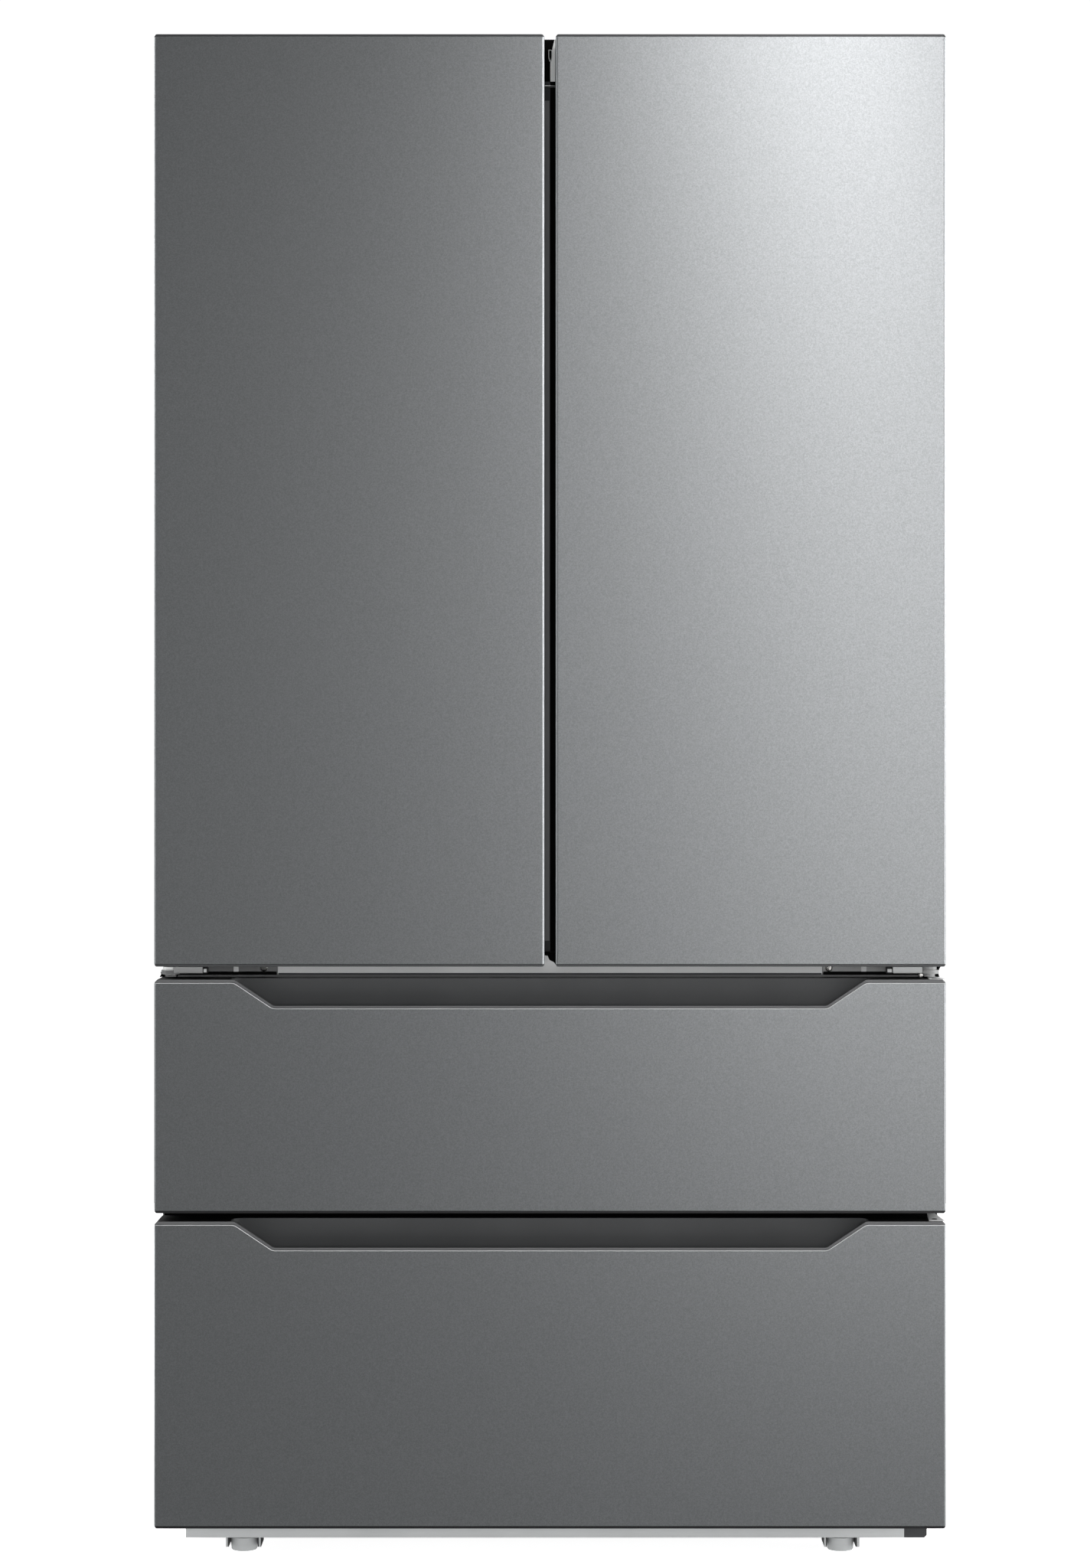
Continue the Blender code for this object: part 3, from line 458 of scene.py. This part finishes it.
def levelling_foot(side):
    """A foot's pad, collar and threaded stem, and the two tabs of the bracket round it."""
    node = f"{side}_leveling_foot"
    low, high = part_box(node)
    cx, cy = (low.x + high.x) / 2, (low.y + high.y) / 2
    profile = [(0.0125, 0.0), (0.0143, 0.0004), (0.0151, 0.0016), (0.0159, 0.0118), (0.0159, 0.0158)]
    profile += [(0.0152, 0.0165), (0.0070, 0.0172), (0.0060, 0.0190), (0.0050, 0.0200)]
    crest, root, pitch = 0.0049, 0.0042, 0.0012
    z, thread_top = 0.0206, 0.0425
    while z < thread_top:
        profile += [(crest, z), (root, z + pitch / 2)]
        z += pitch
    profile += [(0.0048, 0.0432), (0.0044, 0.0437)]
    foot = lathe(f"{node}_v", profile, (cx, cy, 0), "z", "light_grey", f"{side}_foot")
    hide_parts(node)
    deep, tall = (-0.3038, -0.3031), (0.0062, 0.0196)
    for end, x0, x1 in (("left", -0.0203, -0.0181), ("right", 0.0183, 0.0205)):
        block(f"{side}_foot_tab_{end}", (cx + x0, cx + x1), deep, tall, "light_grey", edge=0.0003)


def rear_roller(side):
    """A roller's tyre, web and hub, the same on both sides."""
    node = f"{side}_rear_roller"
    low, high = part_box(node)
    half, radius = (high.x - low.x) / 2, (high.z - low.z) / 2
    web = -half + 0.002
    profile = [(0.0046, -half), (0.0110, -half), (0.0118, web), (radius - 0.0034, web)]
    profile += [(radius - 0.0024, -half), (radius - 0.0010, -half + 0.0004), (radius, -half + 0.0022)]
    profile += [(r, -a) for r, a in reversed(profile)]
    roller = lathe(f"{node}_v", profile, (low + high) / 2, "x", "black_plastic", f"{side}_roller")
    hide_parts(node)


def drawer_cores():
    """Each drawer's inner front, with its bottom lip as a separate dark cap."""
    lip_height = 0.0024
    parts = (("core", True, 0.0020, "white_liner"), ("cap", False, 0.0006, "black_plastic"))
    for level in LEVELS:
        node = f"{level}_drawer_core"
        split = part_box(node)[0].z + lip_height
        for part, above, edge, material in parts:
            bm = clean_copy(node)
            cut = bmesh.ops.bisect_plane(
                bm,
                geom=list(bm.verts) + list(bm.edges) + list(bm.faces),
                plane_co=(0, 0, split),
                plane_no=UP,
                clear_inner=above,
                clear_outer=not above,
            )
            rim = [item for item in cut["geom_cut"] if isinstance(item, bmesh.types.BMEdge)]
            bmesh.ops.edgenet_fill(bm, edges=rim)
            bmesh.ops.recalc_face_normals(bm, faces=bm.faces)
            bevel_sharp(bm, edge)
            obj = finish_mesh(bm, f"{level}_drawer_{part}_v", material, f"{level}_drawer")
            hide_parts(node)


def drawer_handles():
    """Each pocket handle: a grey lip and rim, and painted shade in its recess: a darker grey pocket and a
    black top ledge under the front above.
    """
    lip_depth, ledge_height = 0.0030, 0.0010
    pocket, ledge = 1, 2
    for level in LEVELS:
        node = f"{level}_drawer_handle"
        handle = refine(node, edge=0.0006)
        handle.data.materials.append(MATERIALS["pocket_shade_grey"])
        handle.data.materials.append(MATERIALS["black_plastic"])
        low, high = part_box(node)
        # painted shade: faces behind the lip take the darker pocket grey, those at the top of the pocket
        # black
        for face in handle.data.polygons:
            if face.center.y > low.y + lip_depth:
                face.material_index = ledge if face.center.z > high.z - ledge_height else pocket


def drawer_corners():
    """Nylon ramps screwed on the right end of each drawer's top ledge."""
    outline = [(0.4368, -0.3655), (0.4552, -0.3655), (0.4472, -0.3250), (0.4390, -0.3250)]
    toe, screw_part = 0.0004, 0.22
    for level, rise in (("upper", 0.0013), ("lower", 0.0045)):
        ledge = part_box(f"{level}_drawer_handle")[1].z
        foot = ledge + HAIR
        bm = bmesh.new()
        base = [bm.verts.new((x, y, foot)) for x, y in outline]
        top = [bm.verts.new((x, y, foot + h)) for (x, y), h in zip(outline, (toe, toe, rise, rise))]
        bm.faces.new(base[::-1])
        bm.faces.new(top)
        for i in range(4):
            j = (i + 1) % 4
            bm.faces.new((base[i], base[j], top[j], top[i]))
        bevel_sharp(bm, width=0.0002)
        finish_mesh(bm, f"{level}_corner_ramp", "white_plastic", f"{level}_drawer")
        seat = ledge + 0.0003 + rise * screw_part
        head = [(0.0018, seat - 0.0002), (0.0030, seat), (0.0030, seat + 0.0004), (0.0016, seat + 0.0006)]
        centre = (0.4440, -0.3565, 0)
        lathe(f"{level}_ramp_screw", head, centre, "z", "black_steel", f"{level}_drawer", steps=32)


def painted_shade_strips():
    """Painted shade: dark strips and a dark pad on the cabinet's front edge behind the gaps between the
    fronts, where the gaps fall into shade.
    """
    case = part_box("cabinet_wrapper")[0].y
    half = 0.4515
    # painted shade: black strip in the gap between the drawers
    block("drawer_gap_shade_strip", (-half, half), proud(case), (0.3872, 0.4128), "painted_shade_black", edge=0.0002)
    start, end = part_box("center_rail")
    across, deep = (start.x + 0.001, end.x - 0.001), (start.y - 0.0012, start.y + 0.0010)
    # painted shade: dark strip under the rail, where the gap above the drawer is in shade
    block("rail_under_shade_strip", across, deep, (start.z, 0.6778), "dark_plastic", edge=0.0003)
    # painted shade: black strips under the hinge brackets
    for side in SIDES:
        across = sorted((SIGN[side] * 0.3196, SIGN[side] * 0.4400))
        deep = proud(start.y, 0.0012)
        block(f"hinge_gap_shade_strip_{side}", across, deep, (0.6757, 0.6796), "painted_shade_black", edge=0.0003)
    # painted shade: black pad at the right end of the gap between the drawers
    pad = [(0.4400, 0.3958), (0.4522, 0.3958), (0.4512, 0.3985), (0.4512, 0.4010), (0.4530, 0.4040)]
    pad += [(0.4400, 0.4040)]
    prism("drawer_end_shade_pad", pad, "y", (-0.3180, -0.3100), "painted_shade_black", edge=0.0003)


def flipper_parts():
    """End caps and face strips of the folding bar between the doors; the right half of its face is a black
    strip of painted shade, where the gap to the right door is in shade.
    """
    low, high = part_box("flipper_bar")
    face, top, lap = low.y, 1.7139, 0.0003
    across, deep = (low.x - 0.0004, high.x + 0.0004), (face - lap, high.y + lap)
    for word, tall in (("top", (1.6990, top + 0.0002)), ("bottom", (low.z - 0.0002, 0.7150))):
        block(f"flipper_end_{word}", across, deep, tall, "dark_plastic", "flipper", edge=0.0012, segments=3)
    deep = (face - 0.0006, face + 0.0004)
    # painted shade: black on the right half of the bar's face
    block("flipper_black_shade_strip", (0.0003, 0.0115), deep, (low.z, top), "painted_shade_black", "flipper", edge=0.0002)
    across, deep = (-0.0115, -0.0006), (face - 0.0004, face + 0.0004)
    block("flipper_face_strip", across, deep, (0.7155, 1.6985), "flipper_grey", "flipper", edge=0.0002)


def flipper_guide_parts():
    """What shows above and below the folding bar: the guide's tab, clip and skirt. Painted shade, where the
    gap is in shade, comes as a black plate behind the guide, a black right half of the skirt, a black pad on
    the rail and a black slot on the clip.
    """
    half, skirt = 0.0118, (1.7157, 1.7198)
    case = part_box("cabinet_wrapper")[0].y
    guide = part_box("flipper_guide")[0].y
    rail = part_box("center_rail")[0].y
    # painted shade: black plate behind the guide
    block("guide_shade_plate", (-half, half), proud(case), (1.7190, 1.7699), "painted_shade_black", edge=0.0002)
    block("guide_skirt", (-half, 0.0002), proud(guide, 0.0008), skirt, "dark_plastic", edge=0.0002)
    # painted shade: black right half of the skirt
    block("guide_skirt_shade", (0.0002, half), proud(guide), skirt, "painted_shade_black", edge=0.0002)
    # painted shade: black pad on the rail under the folding bar
    shade_points = [(-0.0070, 0.7022), (0.0075, 0.7022), (0.0075, 0.6868), (0.0042, 0.6907), (-0.0007, 0.6930)]
    shade_points += [(-0.0027, 0.6980), (-0.0070, 0.6986)]
    prism("flipper_rail_shade_pad", shade_points, "y", proud(rail, 0.0012), "painted_shade_black", edge=0.0002)
    tab = [(0.0004, 1.7199), (0.0062, 1.7199), (0.0062, 1.7690), (0.0053, 1.7690), (0.0034, 1.7610)]
    tab += [(0.0022, 1.7540), (0.0018, 1.7450), (0.0004, 1.7425)]
    prism("guide_tab", tab, "y", (case - 0.0046, case - 0.0008), "nylon", edge=0.0004)
    clip = [(-0.0018, 1.7570), (-0.0018, 1.7480), (-0.0007, 1.7440), (0.0007, 1.7430)]
    clip += [(0.0019, 1.7440), (0.0026, 1.7480), (0.0026, 1.7570)]
    prism("guide_clip", clip, "y", (case - 0.0052, case - 0.0010), "plate_grey", edge=0.0004)
    # painted shade: black slot shape on the clip's face
    slot = [(-0.0010, 1.7562), (-0.0010, 1.7485), (-0.0002, 1.7452), (0.0006, 1.7444)]
    slot += [(0.0013, 1.7452), (0.0018, 1.7485), (0.0018, 1.7562)]
    prism("guide_clip_shade_slot", slot, "y", (case - 0.0055, case - 0.0040), "painted_shade_black", edge=0.0002)


def hinge_pin(side):
    """Where a door's hinge axis stands, in plan."""
    inset, setback = 0.016, 0.032
    low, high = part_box(f"{side}_door_skin")
    x = low.x + inset if side == "left" else high.x - inset
    return x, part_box("left_door_skin")[0].y + setback


def middle_hinges():
    """Bushes, front plates, slots, clips, spacers and screws on the brackets under the doors."""
    rims = {"left": 0.0108, "right": 0.0084}
    plates = {"left": (-0.4355, -0.4021), "right": (0.3967, 0.4308)}
    slots = {"left": (-0.4021, -0.3975), "right": (0.3904, 0.3967)}
    # painted light and shade: the right plate is a lighter grey than the left, as lit from the right
    lit_and_shaded_plates = {"left": "hinge_lit_grey", "right": "plate_grey"}
    screws = {"left": -0.3344, "right": 0.3260}
    top = 0.6872
    for side in SIDES:
        rim = rims[side]
        profile = [(rim - 0.0016, 0.6784), (rim - 0.0002, 0.6788), (rim, 0.6796), (rim, 0.6828)]
        profile += [(rim - 0.0002, 0.6836), (rim - 0.0014, 0.6838), (rim - 0.0018, 0.6842)]
        profile += [(rim - 0.0018, 0.6866), (rim - 0.0022, 0.6871), (0.0046, top)]
        lathe(f"hinge_bush_{side}", profile, (*hinge_pin(side), 0), "z", "nylon", "cabinet")
        deep, look = (-0.3496, -0.3480), lit_and_shaded_plates[side]
        block(f"hinge_plate_{side}", plates[side], deep, (0.6802, top), look, edge=0.0004)
        near, far = slots[side]
        deep = (-0.3420, -0.3300)
        block(f"hinge_slot_{side}", (near, far), deep, (0.6790, top), "black_plastic", edge=0.0005)
        across, deep = (near + 0.0006, far - 0.0004), (-0.3440, -0.3418)
        block(f"hinge_clip_{side}", across, deep, (0.6806, 0.6845), "white_plastic", edge=0.0004)
        across, deep = sorted((SIGN[side] * 0.3640, SIGN[side] * 0.3702)), (-0.3066, -0.3050)
        block(f"hinge_spacer_{side}", across, deep, (0.6790, 0.6870), "rail_grey", edge=0.0005)
        screw(f"hinge_screw_{side}", (screws[side], -0.3052, 0.6842), FORWARDS, radius=0.0046)


def hinge_shadow_pads():
    """Painted shadow: dark pads at the outer ends of the gap under the doors, where the doors' bottom caps
    cast shadow, and the right one's screw.
    """
    inner, bottom, right_top, left_top = 0.4340, 0.6742, 0.6870, 0.6800
    deep = (-0.3240, -0.3180)
    # painted shadow: dark pad at the right end of the gap under the doors
    pad = [(inner, bottom), (0.4536, bottom), (0.4524, 0.6775), (0.4523, 0.6805), (0.4535, 0.6840)]
    pad += [(0.4554, right_top), (inner, right_top)]
    prism("hinge_shadow_pad_right", pad, "y", deep, "painted_shade_black", edge=0.0003)
    # painted shadow: dark pad at the left end of the gap under the doors
    pad = [(-0.4545, bottom), (-inner, bottom), (-inner, left_top), (-0.4535, left_top), (-0.4528, 0.6772)]
    prism("hinge_shadow_pad_left", pad, "y", deep, "painted_shade_black", edge=0.0003)
    screw("hinge_pad_screw", (0.4288, -0.3496, 0.6776), FORWARDS, radius=0.0028)


def cabinet_top():
    """A screw sunk in the top of each hinge cover."""
    y, sink = -0.2150, 0.0021
    for side in SIDES:
        low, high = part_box(f"hinge_cover_{side}")
        place = ((low.x + high.x) / 2, y, high.z - sink)
        screw(f"hinge_cover_screw_{side}", place, UP, radius=0.0038)


def shelf_trims():
    """Moulded front and rear trims on the shelves and the crisper cover."""
    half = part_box("glass_shelf_lower")[1].x
    length = (-half + 0.0002, half - 0.0002)
    for node in ("glass_shelf_lower", "glass_shelf_upper", "crisper_cover"):
        low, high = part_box(node)
        front = [
            (low.y - 0.0035, low.z - 0.0060),
            (low.y + 0.0090, low.z - 0.0012),
            (low.y + 0.0090, low.z),
            (low.y, low.z),
            (low.y, high.z),
            (low.y + 0.0060, high.z),
            (low.y + 0.0060, high.z + 0.0012),
            (low.y - 0.0020, high.z + 0.0012),
            (low.y - 0.0035, high.z),
        ]
        prism(f"{node}_front_trim", front, "x", length, "white_liner", edge=0.0006)
        rear = [
            (high.y - 0.0060, high.z),
            (high.y, high.z),
            (high.y, high.z + 0.0080),
            (high.y - 0.0020, high.z + 0.0080),
            (high.y - 0.0060, high.z + 0.0015),
        ]
        prism(f"{node}_rear_trim", rear, "x", length, "white_liner", edge=0.0005)


def lamp_and_duct():
    """The lamp in the fresh-food ceiling, and the air duct with its vents on the back wall."""
    ceiling, back, duct_depth = 1.7196, 0.2972, 0.0058
    bezel, lens = 0.190, 0.180
    tall = (ceiling - 0.0030, ceiling)
    block("lamp_bezel", (-bezel, bezel), (-0.190, -0.125), tall, "white_plastic", edge=0.0012)
    tall = (ceiling - 0.0052, ceiling - 0.0010)
    block("lamp_lens", (-lens, lens), (-0.182, -0.133), tall, "led_lens", edge=0.0020, segments=3)
    front = back - duct_depth
    duct = [(-0.125, back), (-0.110, front), (0.110, front), (0.125, back)]
    prism("air_duct", duct, "z", (0.965, 1.690), "white_liner", edge=0.0012)
    for k, z in enumerate((1.02, 1.22, 1.46, 1.60)):
        louvres(f"air_vent_{k}", (-0.070, 0.070), (z, z + 0.030), front, 5, 0.0022)


def grips_and_bin_trims(side):
    """A crisper's finger grip, and the metal trims along the bins of the door on that side."""
    low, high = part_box(f"{side}_crisper")
    grip = [
        (low.y - 0.0010, high.z - 0.030),
        (low.y - 0.0006, high.z - 0.034),
        (low.y + 0.0002, high.z - 0.034),
        (low.y + 0.0002, high.z + 0.0005),
        (low.y - 0.0016, high.z + 0.0005),
        (low.y - 0.0022, high.z - 0.0010),
        (low.y - 0.0020, high.z - 0.0100),
    ]
    length = (low.x + 0.002, high.x - 0.002)
    prism(f"{side}_crisper_grip", grip, "x", length, "white_liner", f"{side}_crisper", edge=0.0006)
    for level in ("lower", "upper"):
        low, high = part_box(f"{side}_door_bin_{level}")
        across, deep = (low.x + 0.003, high.x - 0.003), (high.y - 0.0008, high.y + 0.0016)
        tall = (high.z - 0.016, high.z - 0.004)
        block(f"{side}_bin_trim_{level}", across, deep, tall, "aluminium_tube", f"{side}_door", edge=0.0007)


def back_of_cabinet():
    """Pressed ribs and screws on the rear panel, and screws on the machine cover."""
    low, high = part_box("rear_panel")
    margin, rib, screw_size = 0.085, 0.010, 0.0042
    for k, x in enumerate((-0.30, -0.15, 0.0, 0.15, 0.30)):
        across, deep = (x - rib, x + rib), (high.y - 0.0004, high.y + 0.0016)
        tall = (low.z + margin, high.z - margin)
        block(f"rear_rib_{k}", across, deep, tall, "case_paint", edge=0.0015, segments=3)
    bottom, top = low.z + 0.012, high.z - 0.012
    side_column, inner_column = 0.441, 0.22
    places = []
    for z in (bottom, 0.75, 1.26, top):
        for x in (-side_column, -inner_column, inner_column, side_column):
            if abs(x) == side_column or z in (bottom, top):
                places.append((x, high.y, z))
    for k, place in enumerate(places):
        screw(f"rear_screw_{k}", place, BACKWARDS, screw_size)
    cover_face, edge = 0.3568, 0.438
    corners = ((-edge, 0.075), (-edge, 0.235), (edge, 0.075), (edge, 0.235), (0.0, 0.2545))
    for k, (x, z) in enumerate(corners):
        screw(f"cover_screw_{k}", (x, cover_face, z), BACKWARDS, screw_size)


def refined_nodes():
    """The nodes that only need rounded edges, each with its own edge width."""
    widths = {
        "cabinet_wrapper": 0.0005,
        "machine_cover": 0.0006,
        "rear_panel": 0.0004,
        "fresh_food_liner": 0.0009,
        "freezer_liner": 0.0009,
        "base_frame": 0.0005,
        "toe_grille": 0.0005,
        "center_rail": 0.0008,
        "freezer_crossbar": 0.002,
        "flipper_guide": 0.0006,
        "flipper_bar": 0.0014,
        "evaporator_cover": 0.0012,
        "crisper_cover": 0.0012,
        "glass_shelf_lower": 0.0012,
        "glass_shelf_upper": 0.0012,
        "left_crisper": 0.0014,
        "right_crisper": 0.0014,
    }
    for side in SIDES:
        widths[f"top_hinge_{side}"] = 0.0006
        widths[f"hinge_cover_{side}"] = 0.0010
        widths[f"middle_hinge_{side}"] = 0.0005
        widths[f"{side}_door_skin"] = 0.0004
        widths[f"{side}_door_top_cap"] = 0.0006
        widths[f"{side}_door_bottom_cap"] = 0.0006
        widths[f"{side}_door_core"] = 0.0025
        widths[f"{side}_door_bin_lower"] = 0.0011
        widths[f"{side}_door_bin_upper"] = 0.0011
    for level in LEVELS:
        widths[f"{level}_drawer_skin"] = 0.0006
        widths[f"{level}_drawer_frame"] = 0.0012
        widths[f"{level}_drawer_bin"] = 0.0014
        widths[f"{level}_slide_left"] = 0.0010
        widths[f"{level}_slide_right"] = 0.0010
    looks = {
        "center_rail": "rail_grey",
        # painted light and shade: the left hinge takes the shaded grey, the right one the lit grey
        "middle_hinge_left": "hinge_shaded_grey",
        "middle_hinge_right": "hinge_lit_grey",
        "flipper_guide": "white_plastic",
    }
    wide = 0.001
    for node, width in widths.items():
        refine(node, width, 3 if width > wide else 2, looks.get(node))


def paint_edge_highlights():
    """Painted highlight: the upward-facing faces of the drawer fronts' steel get a light grey, standing in
    for the light their edges catch from above.
    """
    least_rise = 0.25
    for level in LEVELS:
        skin = bpy.data.objects[f"{level}_drawer_skin_v"].data
        skin.materials.append(MATERIALS["painted_highlight_grey"])
        # painted highlight: faces that look upwards take the light grey
        for face in skin.polygons:
            if face.normal.z > least_rise:
                face.material_index = 1


def plain_materials():
    """A material on each CAD node."""
    for node, obj in NODES.items():
        obj.data.materials.clear()
        obj.data.materials.append(MATERIALS[SLOT_OF[node]])


# ------------------------------------------------------------------ studio
LIGHTS = (  # name, place, target, width and height in metres, watts, colour
    ("key", (0.569, -1.434, 1.222), (0.194, -0.37, 0.3), (0.3, 2.494), 8.85, (1.02, 1.0, 1.0)),
    ("front_fill", (0.0, -4.2, 0.80), (0, 0, 0.80), (1.0, 0.8), 44, (1, 1, 1)),
    ("right_strip", (4.6, -1.2, 1.4), (0.3, -0.37, 0.95), (0.9, 3.6), 150, (1, 1, 1)),
    ("left_strip", (-4.6, -1.2, 1.2), (-0.3, -0.37, 0.95), (0.9, 3.6), 45, (1, 1, 1)),
    ("back_left", (-2.4, 2.2, 2.2), (0, 0, 0.9), (1.6, 2.0), 60, (1, 1, 1)),
    ("back_right", (2.4, 2.0, 2.0), (0, 0, 0.9), (1.6, 2.0), 60, (1, 1, 1)),
    ("top", (0.0, 0.3, 3.6), (0, 0, 0), (2.0, 2.0), 30, (1, 1, 1)),
)


def area_light(name, place, target, size, power, colour):
    """A rectangular light that looks at its target."""
    data = bpy.data.lights.new(name, "AREA")
    data.shape = "RECTANGLE"
    data.size, data.size_y = size
    data.energy = power
    data.color = colour
    light = bpy.data.objects.new(name, data)
    bpy.context.scene.collection.objects.link(light)
    light.location = place
    aim = Vector(target) - Vector(place)
    light.rotation_euler = aim.to_track_quat("-Z", "Y").to_euler()
    return light


def surroundings():
    """A dim sky that fades upwards and lights the object, and a white backdrop that only the camera sees."""
    horizon, low_strength, high_strength = 0.35, 0.140, 0.075
    world = bpy.data.worlds.new("studio")
    bpy.context.scene.world = world
    world.use_nodes = True
    tree = world.node_tree
    back = tree.nodes["Background"]
    back.inputs["Color"].default_value = (1.0, 1.0, 1.015, 1)
    split = tree.nodes.new("ShaderNodeSeparateXYZ")
    fade = tree.nodes.new("ShaderNodeMapRange")
    fade.name = "studio_fade"
    fade.interpolation_type = "SMOOTHSTEP"
    for socket, value in zip(RANGE_SOCKETS, (-horizon, horizon, low_strength, high_strength)):
        fade.inputs[socket].default_value = value
    tree.links.new(tree.nodes.new("ShaderNodeTexCoord").outputs["Generated"], split.inputs["Vector"])
    tree.links.new(split.outputs["Z"], fade.inputs["Value"])
    tree.links.new(fade.outputs["Result"], back.inputs["Strength"])
    white = tree.nodes.new("ShaderNodeBackground")
    white.inputs["Color"].default_value = (1, 1, 1, 1)
    white.inputs["Strength"].default_value = 1.05
    path = tree.nodes.new("ShaderNodeLightPath")
    mix = tree.nodes.new("ShaderNodeMixShader")
    tree.links.new(path.outputs["Is Camera Ray"], mix.inputs["Fac"])
    tree.links.new(back.outputs["Background"], mix.inputs[1])
    tree.links.new(white.outputs["Background"], mix.inputs[2])
    tree.links.new(mix.outputs["Shader"], tree.nodes["World Output"].inputs["Surface"])


def lights():
    """Every light; the front one adds no highlight to glossy faces."""
    made = {entry[0]: area_light(*entry) for entry in LIGHTS}
    made["front_fill"].visible_glossy = False


def floor():
    """A pale round floor that glows a little less towards its rim."""
    radius, drop, mapping_scale = 3.2, 0.0002, 0.32
    bm = bmesh.new()
    bmesh.ops.create_circle(bm, cap_ends=True, radius=radius, segments=128)
    mesh = bpy.data.meshes.new("studio_floor")
    bm.to_mesh(mesh)
    bm.free()
    obj = bpy.data.objects.new("studio_floor", mesh)
    bpy.context.scene.collection.objects.link(obj)
    material = bpy.data.materials.new("pale_floor")
    material.use_nodes = True
    tree = material.node_tree
    shader = tree.nodes["Principled BSDF"]
    shader.inputs["Base Color"].default_value = (0.9, 0.9, 0.9, 1)
    shader.inputs["Roughness"].default_value = 0.9
    shader.inputs["Emission Color"].default_value = (1, 1, 1, 1)
    coords = tree.nodes.new("ShaderNodeTexCoord")
    gradient = tree.nodes.new("ShaderNodeTexGradient")
    gradient.gradient_type = "SPHERICAL"
    mapping = tree.nodes.new("ShaderNodeMapping")
    mapping.inputs["Scale"].default_value = (mapping_scale, mapping_scale, mapping_scale)
    tree.links.new(coords.outputs["Object"], mapping.inputs["Vector"])
    tree.links.new(mapping.outputs["Vector"], gradient.inputs["Vector"])
    ramp = tree.nodes.new("ShaderNodeMapRange")
    for socket, value in zip(RANGE_SOCKETS, (0.0, 0.8, 1.1, 0.90)):
        ramp.inputs[socket].default_value = value
    tree.links.new(gradient.outputs["Fac"], ramp.inputs["Value"])
    tree.links.new(ramp.outputs["Result"], shader.inputs["Emission Strength"])
    mesh.materials.append(material)
    obj.visible_glossy = False
    obj.location.z = -drop


def camera():
    """A level camera in front of the object."""
    data = bpy.data.cameras.new("camera")
    data.lens = 79.8
    data.sensor_width = 36.0
    obj = bpy.data.objects.new("camera", data)
    bpy.context.scene.collection.objects.link(obj)
    obj.location = (-0.0058, -4.370, 0.8988)
    obj.rotation_euler = (math.pi / 2, 0, 0)
    bpy.context.scene.camera = obj


plain_materials()
gaskets()
for side in SIDES:
    levelling_foot(side)
    rear_roller(side)
drawer_cores()
drawer_handles()
drawer_corners()
painted_shade_strips()
flipper_parts()
flipper_guide_parts()
middle_hinges()
hinge_shadow_pads()
cabinet_top()
shelf_trims()
lamp_and_duct()
for side in SIDES:
    grips_and_bin_trims(side)
back_of_cabinet()
refined_nodes()
paint_edge_highlights()
camera()
floor()
surroundings()
lights()
bpy.context.scene.view_settings.view_transform = "Standard"
